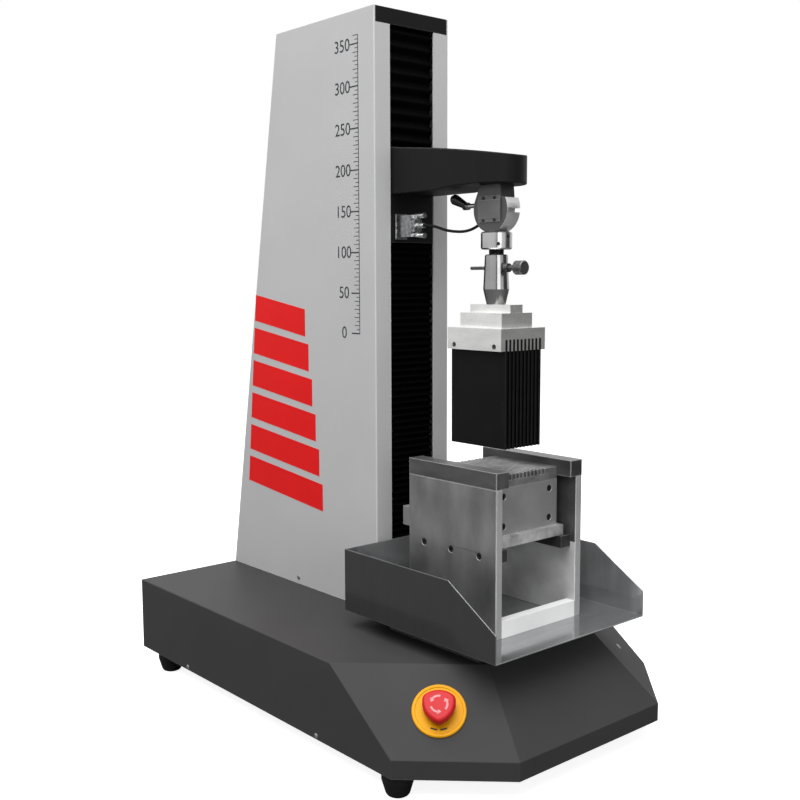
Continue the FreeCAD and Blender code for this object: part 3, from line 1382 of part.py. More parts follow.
def make_lead():
    """The load cell's plug, its socket on the carriage, and the lead between them."""
    x, z, front = -g.plug_x, plug_middle, -g.carriage_front
    half_w, half_h = g.plug_width / 2, g.plug_height / 2
    socket = new_body("Socket")
    pad(socket, "XZ", rectangle(x - half_w - 1, z - g.socket_height / 2, x + half_w + 1,
                                z + g.socket_height / 2), front - g.socket_thickness,
        g.socket_thickness)
    keep("sensor_socket", socket)
    seat = front - g.socket_thickness
    hood = new_body("PlugHood")
    flare = 2
    pad(hood, "XZ", [(x - half_w, z - half_h), (x + half_w, z - half_h),
                     (x + half_w, z + half_h), (x - half_w, z + half_h)],
        seat - g.plug_length + flare, g.plug_length - flare)
    last = pad(hood, "XZ", rectangle(x - half_w + flare, z - 7, x + half_w - flare, z + 7),
               seat - g.plug_length - 2, flare + 4)
    hood.Tip = last
    end = seat - g.plug_length
    boot = cone("PlugBoot", (x, end, z), (0, -1, 0), 4.5, 3, boot_length())
    thumbs = []
    for side in (-1, 1):
        thumbs.append(rod("Thumb", (x, end + 4, z + side * g.thumb_spread), (0, -1, 0),
                          g.thumb_radius, g.thumb_length + 4))
        thumbs.append(rod("ThumbNeck", (x, end + 5, z + side * (g.thumb_spread - 2)), (0, -1, 0),
                          g.thumb_radius, 8))
    keep("sensor_plug", fuse("SensorPlug", hood, boot, *thumbs))
    route = lead_route()
    keep("sensor_cable", tube("Lead", route, g.lead_radius))


def boot_length():
    return 13


def lead_route():
    """The corners of the lead's way, from the gland to the plug's boot."""
    start = [number(part) for part in gland_spot(30)]
    way = gland_way()
    x, z = -sizes["plug_x"], number(plug_middle)
    seat = -sizes["carriage_front"] - sizes["socket_thickness"] - sizes["plug_length"]
    end = seat - boot_length()
    return [start, [part + step * 17 for part, step in zip(start, way)],
            [x + 7, end - 36, z - 8.5], [x, end - 14, z], [x, end, z]]


def tube(name, route, radius):
    """A round lead along straight runs joined by tangent arcs."""
    points = [FreeCAD.Vector(*point) for point in route]
    edges, at = [], points[0]
    for before, corner, after in zip(points, points[1:], points[2:]):
        inward, onward = (corner - before).normalize(), (after - corner).normalize()
        half_turn = inward.getAngle(onward) / 2
        reach = 0.45 * min((corner - before).Length, (after - corner).Length)
        arc_start, arc_end = corner - inward * reach, corner + onward * reach
        bend = reach / math.tan(half_turn)
        chord = (onward - inward).normalize()
        arc_middle = corner + chord * (bend / math.cos(half_turn) - bend)
        print(name, "bend radius", round(bend, 1))
        edges += [Part.LineSegment(at, arc_start).toShape(),
                  Part.Arc(arc_start, arc_middle, arc_end).toShape()]
        at = arc_end
    edges.append(Part.LineSegment(at, points[-1]).toShape())
    wire = Part.Wire(edges)
    circle = Part.Circle(points[0], points[1] - points[0], number(radius))
    profile = Part.Wire([circle.toShape()])
    obj = doc.addObject("Part::Feature", name)
    obj.Shape = wire.makePipeShell([profile], True, False)
    expected = math.pi * number(radius) ** 2 * wire.Length
    print(name, "length", round(wire.Length, 1), "volume ratio",
          round(obj.Shape.Volume / expected, 4))
    return obj


for step in (make_feet, make_base_plate, make_base_cover, make_bed_casting, make_pedestal,
             make_column_foot, make_spine, make_rails, make_bearing_blocks, make_column_cover,
             make_cap, make_bellows, make_screw_covers, make_motor, make_drive,
             make_electronics, make_inlet, make_rocker, make_stop_button, make_lamp, make_tray,
             make_cell_frame, make_cell_box, make_carriage, make_arm, make_load_cell,
             make_levers, make_coupling, make_blade_head, make_lead):
    step()

doc.recompute()
for obj in doc.Objects:
    if {"Invalid", "Error"} & set(obj.State):
        raise RuntimeError(f"{obj.Label} failed: {obj.State}")
os.makedirs("parts", exist_ok=True)
for label, obj in nodes.items():
    shape = obj.Shape
    if shape.isNull() or not shape.isValid():
        raise RuntimeError(f"{label} has no valid shape")
    shape.exportStep(f"parts/{label}.step")
    print(label, len(shape.Solids), round(shape.Volume))
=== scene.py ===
import bpy
import math
import numpy as np
from mathutils import Matrix, Vector


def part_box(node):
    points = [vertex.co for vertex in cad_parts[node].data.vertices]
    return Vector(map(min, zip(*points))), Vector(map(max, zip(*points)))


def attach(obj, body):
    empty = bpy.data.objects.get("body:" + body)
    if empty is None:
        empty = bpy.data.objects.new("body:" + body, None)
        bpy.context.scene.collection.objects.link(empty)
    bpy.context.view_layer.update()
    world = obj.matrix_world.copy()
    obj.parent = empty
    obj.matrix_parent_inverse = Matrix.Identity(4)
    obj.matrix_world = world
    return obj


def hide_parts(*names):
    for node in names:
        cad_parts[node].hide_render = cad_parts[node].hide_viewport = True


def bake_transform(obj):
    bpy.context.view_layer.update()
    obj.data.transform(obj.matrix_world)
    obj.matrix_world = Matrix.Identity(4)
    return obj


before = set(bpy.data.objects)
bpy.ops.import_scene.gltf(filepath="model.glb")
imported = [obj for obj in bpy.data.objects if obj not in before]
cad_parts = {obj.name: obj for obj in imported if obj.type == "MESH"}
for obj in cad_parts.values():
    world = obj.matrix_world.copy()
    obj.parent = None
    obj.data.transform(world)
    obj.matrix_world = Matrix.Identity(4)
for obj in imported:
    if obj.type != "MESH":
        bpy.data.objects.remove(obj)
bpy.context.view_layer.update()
print("frame loaded")


# One colour from its display values, 0 to 255
def linear(red, green, blue):
    out = []
    for value in (red, green, blue):
        value /= 255
        out.append(value / 12.92 if value <= 0.04045 else ((value + 0.055) / 1.055) ** 2.4)
    return (*out, 1)


# Camera: the photograph's own place and lens, in a square frame
camera = {"place": (-0.8884, -1.0263, 0.5375), "yaw": 40.69, "pitch": -6.46, "roll": -0.21,
          "lens": 48.15, "sensor": 36, "clip": (0.05, 50)}
camData = bpy.data.cameras.new("camera")
camData.lens, camData.sensor_width = camera["lens"], camera["sensor"]
camData.clip_start, camData.clip_end = camera["clip"]
camObject = bpy.data.objects.new("camera", camData)
bpy.context.collection.objects.link(camObject)
yaw, pitch = math.radians(camera["yaw"]), math.radians(camera["pitch"])
ahead = Vector((math.sin(yaw) * math.cos(pitch), math.cos(yaw) * math.cos(pitch),
                math.sin(pitch)))
turn = ahead.to_track_quat("-Z", "Y").to_matrix().to_4x4()
camObject.matrix_world = (Matrix.Translation(camera["place"]) @ turn
                          @ Matrix.Rotation(math.radians(camera["roll"]), 4, "Z"))
bpy.context.scene.camera = camObject

# Light: white surroundings for what the camera and reflections see, softer for the rest
light = {"around": 0.42, "seen": 1, "aim": (0, -0.05, 0.35),
         "top": {"power": 200, "place": (-1.1, -0.5, 3.1), "size": 3.6},
         "left": {"power": 1, "place": (-2.6, 0.1, 1.5), "size": 1.5},
         "front": {"power": 6, "place": (-0.8, -2.1, 0.6), "size": 1.0},
         "back": {"power": 6, "place": (0.9, 1.9, 1.8), "size": 1.4}}
scene = bpy.context.scene
scene.view_settings.view_transform = "Standard"


# One value that is 1 for the rays of the given kinds
def rayMask(tree, kinds):
    path = tree.nodes.new("ShaderNodeLightPath")
    seen = path.outputs[kinds[0]]
    for kind in kinds[1:]:
        either = tree.nodes.new("ShaderNodeMath")
        either.operation = "MAXIMUM"
        tree.links.new(seen, either.inputs[0])
        tree.links.new(path.outputs[kind], either.inputs[1])
        seen = either.outputs[0]
    return seen


world = bpy.data.worlds.new("surroundings")
scene.world = world
world.use_nodes = True
tree = world.node_tree
tree.nodes.clear()
output = tree.nodes.new("ShaderNodeOutputWorld")
mix = tree.nodes.new("ShaderNodeMixShader")
soft, white = tree.nodes.new("ShaderNodeBackground"), tree.nodes.new("ShaderNodeBackground")
soft.inputs["Color"].default_value = (1, 1, 1, 1)
soft.inputs["Strength"].default_value = light["around"]
white.inputs["Color"].default_value = (1, 1, 1, 1)
white.inputs["Strength"].default_value = light["seen"]
seen = rayMask(tree, ("Is Camera Ray", "Is Glossy Ray", "Is Transmission Ray"))
tree.links.new(seen, mix.inputs[0])
tree.links.new(soft.outputs[0], mix.inputs[1])
tree.links.new(white.outputs[0], mix.inputs[2])
tree.links.new(mix.outputs[0], output.inputs["Surface"])
for lampName in ("top", "left", "front", "back"):
    lampData = bpy.data.lights.new(lampName, "AREA")
    lampData.energy = light[lampName]["power"]
    lampData.size = light[lampName]["size"]
    lamp = bpy.data.objects.new(lampName, lampData)
    lamp.location = light[lampName]["place"]
    toward = Vector(light["aim"]) - lamp.location
    lamp.rotation_euler = toward.to_track_quat("-Z", "Y").to_euler()
    bpy.context.collection.objects.link(lamp)

# Dark cards, only for reflections, so that metal shows its shape
cards = {"tone": 0.05, "right": {"centre": (1.25, -1.35, 0.45), "half": (0.75, 0.75)},
         "camera": {"centre": (-1.45, -1.66, 0.6), "half": (0.16, 0.9)}}
cardPaint = bpy.data.materials.new("darkCard")
cardPaint.use_nodes = True
cardPaint.node_tree.nodes["Principled BSDF"].inputs["Base Color"].default_value = (
    cards["tone"], cards["tone"], cards["tone"], 1)
for cardName in ("right", "camera"):
    wide, high = cards[cardName]["half"]
    cardMesh = bpy.data.meshes.new(cardName + "Card")
    cardMesh.from_pydata([(-wide, 0, -high), (wide, 0, -high), (wide, 0, high),
                          (-wide, 0, high)], [], [(0, 1, 2, 3)])
    cardMesh.materials.append(cardPaint)
    cardPiece = bpy.data.objects.new(cardName + "Card", cardMesh)
    bpy.context.collection.objects.link(cardPiece)
    centre = Vector(cards[cardName]["centre"])
    cardPiece.location = centre
    cardPiece.rotation_euler = (0, 0, math.atan2(centre.y, centre.x) + math.pi / 2)
    cardPiece.visible_camera = cardPiece.visible_diffuse = cardPiece.visible_shadow = False
    cardPiece.visible_transmission = cardPiece.visible_volume_scatter = False
print("camera and light set")


# What all surfaces share. drift is the span of noise that the colour runs through. A corner's
# lightening, part wear and part painted highlight, starts and is full where the rounded and the
# plain normal have these dot products.
surface = {"drift": (0.3, 0.72), "slowDetail": 6, "fineDetail": 3, "coatRough": 0.25,
           "wearAndHighlightFrom": 0.995, "wearAndHighlightFull": 0.9, "wearAndHighlightColour": (0.75, 0.75, 0.75, 1),
           "wearAndHighlightSamples": 4, "bump": 0.0002, "leastRough": 0.03, "splitSpread": 0.1}


# A colour made darker and made lighter by a share of itself
def shades(colour, share):
    return (tuple(max(c * (1 - share), 0) for c in colour[:3]) + (1,),
            tuple(min(c * (1 + share), 1) for c in colour[:3]) + (1,))


# A surface with a slow colour drift, a fine bump and an uneven gloss. stretch squeezes the
# noise along an axis, so that a small value draws brushed lines there. The edge lightening
# lightens the corners, part wear and part a painted highlight. Each split gives the part below
# a value on an axis its own colour and metal; some splits are painted light or shade.
def material(name, colour, rough, metal=0.0, spread=0.12, scale=30.0, stretch=(1, 1, 1),
             grain=0.25, grainScale=900.0, roughSpread=0.1, coat=0.0, specular=0.5,
             wearAndEdgeHighlight=0.0, wearAndEdgeHighlightSize=0.0006, splits=()):
    made = bpy.data.materials.new(name)
    made.use_nodes = True
    nodes, links = made.node_tree.nodes, made.node_tree.links
    shader = nodes["Principled BSDF"]
    shader.inputs["Metallic"].default_value = metal
    shader.inputs["Coat Weight"].default_value = coat
    shader.inputs["Coat Roughness"].default_value = surface["coatRough"]
    shader.inputs["Specular IOR Level"].default_value = specular
    coords = nodes.new("ShaderNodeTexCoord")
    mapping = nodes.new("ShaderNodeMapping")
    mapping.inputs["Scale"].default_value = stretch
    links.new(coords.outputs["Object"], mapping.inputs["Vector"])
    slow = nodes.new("ShaderNodeTexNoise")
    slow.inputs["Scale"].default_value = scale
    slow.inputs["Detail"].default_value = surface["slowDetail"]
    links.new(mapping.outputs[0], slow.inputs["Vector"])
    fine = nodes.new("ShaderNodeTexNoise")
    fine.inputs["Scale"].default_value = grainScale
    fine.inputs["Detail"].default_value = surface["fineDetail"]
    links.new(mapping.outputs[0], fine.inputs["Vector"])
    ramp = nodes.new("ShaderNodeValToRGB")
    for element, place, shade in zip(ramp.color_ramp.elements, surface["drift"],
                                     shades(colour, spread)):
        element.position, element.color = place, shade
    links.new(slow.outputs["Fac"], ramp.inputs["Fac"])
    paint = ramp.outputs["Color"]
    parts = nodes.new("ShaderNodeSeparateXYZ")
    links.new(coords.outputs["Object"], parts.inputs[0])
    metalSoFar = None
    for split in splits:
        past = nodes.new("ShaderNodeMath")
        past.operation = "LESS_THAN"
        links.new(parts.outputs[split["axis"]], past.inputs[0])
        past.inputs[1].default_value = split["below"]
        uneven = nodes.new("ShaderNodeMix")
        uneven.data_type = "RGBA"
        links.new(slow.outputs["Fac"], uneven.inputs["Factor"])
        darker, lighter = shades(split["colour"], split.get("spread", surface["splitSpread"]))
        uneven.inputs["A"].default_value = darker
        uneven.inputs["B"].default_value = lighter
        other = nodes.new("ShaderNodeMix")
        other.data_type = "RGBA"
        links.new(past.outputs[0], other.inputs["Factor"])
        links.new(paint, other.inputs["A"])
        links.new(uneven.outputs["Result"], other.inputs["B"])
        paint = other.outputs["Result"]
        turnMetal = nodes.new("ShaderNodeMapRange")
        if metalSoFar:
            links.new(metalSoFar, turnMetal.inputs["To Min"])
        else:
            turnMetal.inputs["To Min"].default_value = metal
        turnMetal.inputs["To Max"].default_value = split["metal"]
        links.new(past.outputs[0], turnMetal.inputs["Value"])
        metalSoFar = turnMetal.outputs[0]
    if metalSoFar:
        links.new(metalSoFar, shader.inputs["Metallic"])
    # Corners lightened: part wear, part a painted highlight on the edges
    if wearAndEdgeHighlight:
        rounded = nodes.new("ShaderNodeBevel")
        rounded.samples = surface["wearAndHighlightSamples"]
        rounded.inputs["Radius"].default_value = wearAndEdgeHighlightSize
        plain = nodes.new("ShaderNodeNewGeometry")
        turned = nodes.new("ShaderNodeVectorMath")
        turned.operation = "DOT_PRODUCT"
        links.new(rounded.outputs[0], turned.inputs[0])
        links.new(plain.outputs["Normal"], turned.inputs[1])
        wearAndHighlightMask = nodes.new("ShaderNodeMapRange")
        wearAndHighlightMask.inputs["From Min"].default_value = surface["wearAndHighlightFrom"]
        wearAndHighlightMask.inputs["From Max"].default_value = surface["wearAndHighlightFull"]
        wearAndHighlightMask.inputs["To Max"].default_value = wearAndEdgeHighlight
        links.new(turned.outputs["Value"], wearAndHighlightMask.inputs["Value"])
        wearAndHighlightMix = nodes.new("ShaderNodeMix")
        wearAndHighlightMix.data_type = "RGBA"
        links.new(wearAndHighlightMask.outputs[0], wearAndHighlightMix.inputs["Factor"])
        links.new(paint, wearAndHighlightMix.inputs["A"])
        wearAndHighlightMix.inputs["B"].default_value = surface["wearAndHighlightColour"]
        paint = wearAndHighlightMix.outputs["Result"]
    links.new(paint, shader.inputs["Base Color"])
    gloss = nodes.new("ShaderNodeMapRange")
    gloss.inputs["To Min"].default_value = max(rough - roughSpread, surface["leastRough"])
    gloss.inputs["To Max"].default_value = min(rough + roughSpread, 1)
    links.new(fine.outputs["Fac"], gloss.inputs["Value"])
    links.new(gloss.outputs[0], shader.inputs["Roughness"])
    bump = nodes.new("ShaderNodeBump")
    bump.inputs["Strength"].default_value = grain
    bump.inputs["Distance"].default_value = surface["bump"]
    links.new(fine.outputs["Fac"], bump.inputs["Height"])
    links.new(bump.outputs[0], shader.inputs["Normal"])
    return made


# Planes where one solid changes its finish. Depths are counted from the low side of its own
# box: the side plates' bright front edges (a painted highlight), the column's front (a lighter
# grey for painted light), the tray's outer face (a painted dark reflection) and the barrel's
# foot. Places are coordinates: the cross bars' front, the space under the sample box (the right
# plate is painted with shade above it), the load cell's neck and disc, and the levers' stems.
depths = {"edge": 0.0009, "front": 0.0012, "sheet": 0.0004, "foot": 0.0173}
places = {"barFront": -0.163, "underBox": 0.232, "neck": 0.6285, "disc": -0.0104,
          "rearStem": -0.117, "sideStem": 0.0155}
# The side plates' front edge strip gets a lighter colour: a painted highlight
plateEdgeHighlight = {"axis": 1, "below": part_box("cell_plate_left")[0][1] + depths["edge"],
             "colour": linear(178, 178, 178), "metal": 0.4, "spread": 0.25}
finishes = {
    "columnPaint": dict(colour=linear(176, 176, 177), rough=0.45, scale=8, spread=0.03,
                        grain=0.12, grainScale=1500, specular=0.3, wearAndEdgeHighlight=0.35,
                        wearAndEdgeHighlightSize=0.0016,
                        # The cover's front faces get a lighter grey than its sides: painted
                        # light
                        splits=({"axis": 1,
                                 "below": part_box("column_cover")[0][1] + depths["front"],
                                 "colour": linear(188, 188, 189), "metal": 0,
                                 "spread": 0.02},)),
    "basePaint": dict(colour=linear(55, 55, 56), rough=0.5, scale=10, spread=0.06,
                      grain=0.2, grainScale=1400, specular=0.08, wearAndEdgeHighlight=0.10, wearAndEdgeHighlightSize=0.001),
    "blackPaint": dict(colour=linear(18, 18, 19), rough=0.5, scale=12, spread=0.08,
                       grain=0.25, grainScale=1500, specular=0.12, wearAndEdgeHighlight=0.12, wearAndEdgeHighlightSize=0.001),
    "blade": dict(colour=linear(8, 8, 9), rough=0.5, scale=60, spread=0.2, grain=0.2,
                  specular=0.12, wearAndEdgeHighlight=0.05, wearAndEdgeHighlightSize=0.0006),
    "rubber": dict(colour=linear(12, 12, 12), rough=0.75, scale=80, spread=0.15, grain=0.4,
                   specular=0.2),
    "bellows": dict(colour=linear(3, 3, 3), rough=0.6, scale=60, spread=0.2, grain=0.3,
                    specular=0.02),
    "sidePlate": dict(colour=linear(142, 142, 142), rough=0.34, metal=0.8, scale=26,
                      spread=0.32, stretch=(1, 1, 0.5), grain=0.25, grainScale=260, wearAndEdgeHighlight=0.8,
                      wearAndEdgeHighlightSize=0.0012, splits=(plateEdgeHighlight,)),
    # Right plate's inner face: a painted shade, dark up by the sample box and lighter below it
    "innerPlate": dict(colour=linear(84, 84, 84), rough=0.3, metal=0.5, scale=26,
                       spread=0.3, grain=0.05, wearAndEdgeHighlight=0.8, wearAndEdgeHighlightSize=0.0012,
                       splits=({"axis": 2, "below": places["underBox"],
                                "colour": linear(205, 205, 205), "metal": 0.2,
                                "spread": 0.5}, plateEdgeHighlight)),
    "cellBox": dict(colour=linear(140, 140, 140), rough=0.42, metal=0.4, scale=40,
                    spread=0.1, grain=0.15, grainScale=700, wearAndEdgeHighlight=0.5, wearAndEdgeHighlightSize=0.001),
    "ledge": dict(colour=linear(56, 56, 56), rough=0.45, metal=0.5, scale=60, spread=0.2,
                  grain=0.2, wearAndEdgeHighlight=0.5),
    "tray": dict(colour=linear(166, 167, 168), rough=0.13, metal=0.8, scale=10, spread=0.16,
                 stretch=(1, 8, 1), grain=0.06, grainScale=220, roughSpread=0.05, wearAndEdgeHighlight=0.16,
                 specular=0.3, wearAndEdgeHighlightSize=0.0012,
                 # The tray's outer left face is dark grey and not metal: a painted dark
                 # reflection
                 splits=({"axis": 0, "below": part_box("drip_tray")[0][0] + depths["sheet"],
                          "colour": linear(50, 50, 51), "metal": 0},)),
    "darkBar": dict(colour=linear(92, 92, 92), rough=0.34, metal=0.6, scale=30, spread=0.5,
                    stretch=(1, 0.3, 1), grain=0.2, grainScale=400, wearAndEdgeHighlight=0.9,
                    wearAndEdgeHighlightSize=0.0014),
    "brightBar": dict(colour=linear(110, 110, 110), rough=0.36, metal=0.1, scale=20,
                      spread=0.06, grain=0.08, grainScale=700, wearAndEdgeHighlight=0.3,
                      splits=({"axis": 1, "below": places["barFront"],
                               "colour": linear(246, 246, 246), "metal": 0.1,
                               "spread": 0.16},)),
    "machined": dict(colour=linear(233, 233, 231), rough=0.3, metal=0.85, scale=26,
                     spread=0.08, stretch=(1, 1, 4), grain=0.2, grainScale=500, wearAndEdgeHighlight=0.7,
                     wearAndEdgeHighlightSize=0.001),
    "steel": dict(colour=linear(178, 178, 178), rough=0.22, metal=1, scale=30, spread=0.14,
                  grain=0.15, grainScale=600),
    "cellGrey": dict(colour=linear(58, 58, 59), rough=0.35, metal=0.4, scale=30,
                     spread=0.12, grain=0.15, grainScale=700,
                     splits=({"axis": 2, "below": places["neck"],
                              "colour": linear(205, 205, 205), "metal": 0.7},
                             {"axis": 0, "below": places["disc"],
                              "colour": linear(78, 78, 79), "metal": 0.5})),
    "knurled": dict(colour=linear(102, 102, 103), rough=0.35, metal=0.9, scale=700,
                    spread=0.6, grain=1.0, grainScale=1300),
    "gridMetal": dict(colour=linear(205, 205, 205), rough=0.34, metal=0.7, scale=70,
                      spread=0.35, grain=0.2, grainScale=500, wearAndEdgeHighlight=0.5, wearAndEdgeHighlightSize=0.0004),
    "guideMetal": dict(colour=linear(166, 166, 166), rough=0.32, metal=0.85, scale=60,
                       spread=0.35, grain=0.2, grainScale=500, wearAndEdgeHighlight=0.9, wearAndEdgeHighlightSize=0.0004),
    "barrel": dict(colour=linear(154, 154, 154), rough=0.17, metal=1, scale=30, spread=0.14,
                   grain=0.15, grainScale=600,
                   splits=({"axis": 2,
                            "below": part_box("coupling_barrel")[0][2] + depths["foot"],
                            "colour": linear(146, 146, 146), "metal": 1, "spread": 0.6},)),
    "cellPlate": dict(colour=linear(98, 98, 99), rough=0.4, metal=0.3, scale=60,
                      spread=0.12, grain=0.1, wearAndEdgeHighlight=0.6, wearAndEdgeHighlightSize=0.0004),
    "zinc": dict(colour=linear(150, 150, 151), rough=0.3, metal=0.9, scale=60, spread=0.15,
                 grain=0.15, wearAndEdgeHighlight=0.5, wearAndEdgeHighlightSize=0.0003),
    "darkScrew": dict(colour=linear(26, 26, 27), rough=0.4, metal=0.4, scale=90, spread=0.2,
                      grain=0.15, wearAndEdgeHighlight=0.25, wearAndEdgeHighlightSize=0.0003),
    "blackPlastic": dict(colour=linear(16, 16, 17), rough=0.35, scale=60, spread=0.15,
                         grain=0.15, grainScale=1200),
    "rearLever": dict(colour=linear(18, 18, 19), rough=0.25, metal=0, scale=60, spread=0.15,
                      grain=0.15, splits=({"axis": 1, "below": places["rearStem"],
                                           "colour": linear(185, 185, 185), "metal": 1},)),
    "sideLever": dict(colour=linear(18, 18, 19), rough=0.25, metal=0, scale=60, spread=0.15,
                      grain=0.15, splits=({"axis": 0, "below": places["sideStem"],
                                           "colour": linear(185, 185, 185), "metal": 1},)),
    "foilHood": dict(colour=linear(176, 177, 178), rough=0.2, metal=0.95, scale=240,
                     spread=0.5, grain=0.5, grainScale=420, wearAndEdgeHighlight=0.3),
    "castGrey": dict(colour=linear(70, 70, 72), rough=0.6, scale=40, spread=0.12, grain=0.5,
                     grainScale=600),
    "yellow": dict(colour=linear(212, 148, 5), rough=0.4, scale=40, spread=0.05, grain=0.08,
                   specular=0.15),
    "red": dict(colour=linear(176, 26, 32), rough=0.36, scale=40, spread=0.06, grain=0.06,
                specular=0.18),
    "lens": dict(colour=linear(150, 152, 152), rough=0.2, scale=60, spread=0.08, grain=0.05,
                 coat=0.3),
    "board": dict(colour=linear(30, 90, 50), rough=0.4, scale=90, spread=0.2, grain=0.3),
    "redInk": dict(colour=linear(214, 12, 14), rough=0.45, scale=20, spread=0.04, grain=0.08,
                   specular=0.2),
    "darkInk": dict(colour=linear(42, 44, 46), rough=0.5, scale=20, spread=0.06, grain=0.08,
                    specular=0.2),
    "paleInk": dict(colour=linear(186, 112, 118), rough=0.4, scale=40, spread=0.05, grain=0.08),
}
materials = {name: material(name, **values) for name, values in finishes.items()}

dressing = {
    "feet": "rubber", "base_plate": "zinc", "base_cover": "basePaint",
    "bed_casting": "castGrey", "pedestal_table": "castGrey", "column_foot": "machined",
    "column_spine": "machined", "guide_rails": "steel", "bearing_blocks": "machined",
    "column_cover": "columnPaint", "column_cap": "blackPaint", "cover_screws": "zinc",
    "motor": "blackPaint", "drive_belt": "rubber", "controller_board": "board",
    "power_supply": "zinc", "mains_inlet": "blackPlastic", "stop_plate": "yellow",
    "stop_contact_block": "blackPlastic", "status_lamp": "lens", "drip_tray": "tray",
    "cell_plate_left": "sidePlate", "cell_plate_right": "innerPlate",
    "cell_top_bars": "darkBar", "cell_cross_bars": "brightBar", "cell_ledges": "ledge",
    "cell_screws": "darkScrew", "shear_box_walls": "cellBox", "guide_grid": "guideMetal",
    "floor_grid": "gridMetal", "bellows_lower": "bellows", "bellows_upper": "bellows",
    "ball_screw": "steel", "screw_pulley": "machined", "motor_pulley": "machined",
    "power_rocker": "blackPlastic", "stop_stem": "blackPlastic", "stop_head": "red",
    "carriage_plate": "blackPaint", "guide_blocks": "steel", "ball_nut": "steel",
    "arm": "blackPaint", "load_cell": "cellGrey", "load_cell_plate": "cellPlate",
    "plate_screws": "darkScrew", "coupling_collar": "steel", "collar_screws": "darkScrew",
    "coupling_neck": "blackPaint", "coupling_barrel": "barrel", "head_stack": "machined",
    "head_comb": "machined", "comb_bolts": "blade", "shear_blades": "blade",
    "sensor_socket": "foilHood", "sensor_plug": "foilHood", "sensor_cable": "rubber",
    "clamp_lever_rear": "rearLever", "clamp_lever_side": "sideLever", "lock_pin": "knurled",
}
for node, finish in dressing.items():
    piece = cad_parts[node]
    piece.data.materials.clear()
    piece.data.materials.append(materials[finish])
print("materials made")

# Edges: a small round on the solids whose corners catch the light
rounding = {"weld": 0.00001, "segments": 2, "angle": 35}
edges = {"drip_tray": 0.0006, "cell_plate_left": 0.0006, "cell_plate_right": 0.0006,
         "cell_top_bars": 0.0008, "cell_cross_bars": 0.0005, "head_stack": 0.0008,
         "shear_blades": 0.0004, "shear_box_walls": 0.0005, "guide_grid": 0.0003,
         "floor_grid": 0.0003, "load_cell": 0.0009, "column_cap": 0.0008,
         "sensor_plug": 0.0008, "sensor_socket": 0.0004}
for node, width in edges.items():
    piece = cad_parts[node]
    weld = piece.modifiers.new("weld", "WELD")
    weld.merge_threshold = rounding["weld"]
    bevel = piece.modifiers.new("bevel", "BEVEL")
    bevel.width, bevel.segments, bevel.limit_method = width, rounding["segments"], "ANGLE"
    bevel.angle_limit = math.radians(rounding["angle"])
    bevel.use_clamp_overlap = True
    bevel.harden_normals = True


# A mesh piece from its array of points, in metres, and the arrays of its faces' corners
def addPiece(name, points, faces, finish, smooth=True):
    mesh = bpy.data.meshes.new(name)
    mesh.from_pydata(points.tolist(), [], [face.tolist() for face in faces])
    mesh.validate()
    mesh.materials.append(materials[finish])
    if smooth:
        mesh.shade_smooth()
    made = bpy.data.objects.new(name, mesh)
    bpy.context.collection.objects.link(made)
    return made


# The quads of a grid of points, row by row: a quad joins the point at row * columns + column
# to its next one, and both to theirs in the next row
def gridFaces(rows, columns):
    row, column = np.meshgrid(np.arange(rows - 1), np.arange(columns - 1), indexing="ij")
    first = row * columns + column
    return np.stack([first, first + 1, first + columns + 1, first + columns],
                    -1).reshape(-1, 4)


# Bellows: one sheet in rounded folds, its peaks tucked back at both side edges. Its depth is
# the valley plus the fold's depth times a mix of the zigzag rise and its smooth step, and the
# tuck at a place across is added times the rise.
bellows = {"halfWidth": 0.0345, "valley": -0.0112, "peak": -0.0163, "sheet": 0.0007,
           "samples": 10, "lower": (0.143, 0.5817, 54), "upper": (0.6973, 0.840, 9),
           "zigzag": 0.45, "smooth": 0.55, "across": (-1, -0.985, -0.94, 0, 0.94, 0.985, 1),
           "tuck": (0.0009, 0.0003, 0, 0, 0, 0.0003, 0.0009)}
across = np.array(bellows["across"]) * bellows["halfWidth"]
tuck = np.array(bellows["tuck"])
for side in ("lower", "upper"):
    low, high, folds = bellows[side]
    count = folds * bellows["samples"] + 1
    along = np.linspace(0, 1, count)
    rise = 1 - np.abs(2 * ((along * folds) % 1) - 1)
    depth = bellows["valley"] + (bellows["peak"] - bellows["valley"]) * (
        bellows["zigzag"] * rise + bellows["smooth"] * rise ** 2 * (3 - 2 * rise))
    points = np.zeros((count, len(across), 3))
    points[:, :, 0] = across[None, :]
    points[:, :, 1] = depth[:, None] + tuck[None, :] * rise[:, None]
    points[:, :, 2] = (low + (high - low) * along)[:, None]
    sheet = addPiece("bellows" + side.title(), points.reshape(-1, 3),
                     gridFaces(count, len(across)), "bellows")
    thick = sheet.modifiers.new("thickness", "SOLIDIFY")
    thick.thickness, thick.offset = bellows["sheet"], -1
    if side == "lower":
        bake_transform(sheet)
    else:
        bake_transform(sheet)
    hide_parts("bellows_" + side)
print("bellows done")

# Sensor lead: the same corners as in the CAD source
lead = {"diameter": 0.0034, "length": 0.0825, "slope": 30, "cellMiddle": (-0.163, 0.6156),
        "gland": 0.030, "straight": 0.017, "order": 3, "smoothness": 24, "roundness": 6,
        "route": ((-0.012, -0.097, 0.5925), (-0.019, -0.075, 0.601), (-0.019, -0.061, 0.601))}
slope = math.radians(lead["slope"])
middleY, middleZ = lead["cellMiddle"]
glandOut = (0, middleY + lead["gland"] * math.cos(slope),
            middleZ - lead["gland"] * math.sin(slope))
straightEnd = (0, glandOut[1] + lead["straight"] * math.cos(slope),
               glandOut[2] - lead["straight"] * math.sin(slope))
leadPoints = [glandOut, straightEnd, *lead["route"]]
curve = bpy.data.curves.new("sensorLead", "CURVE")
curve.dimensions = "3D"
spline = curve.splines.new("NURBS")
spline.points.add(len(leadPoints) - 1)
for point, place in zip(spline.points, leadPoints):
    point.co = (*place, 1)
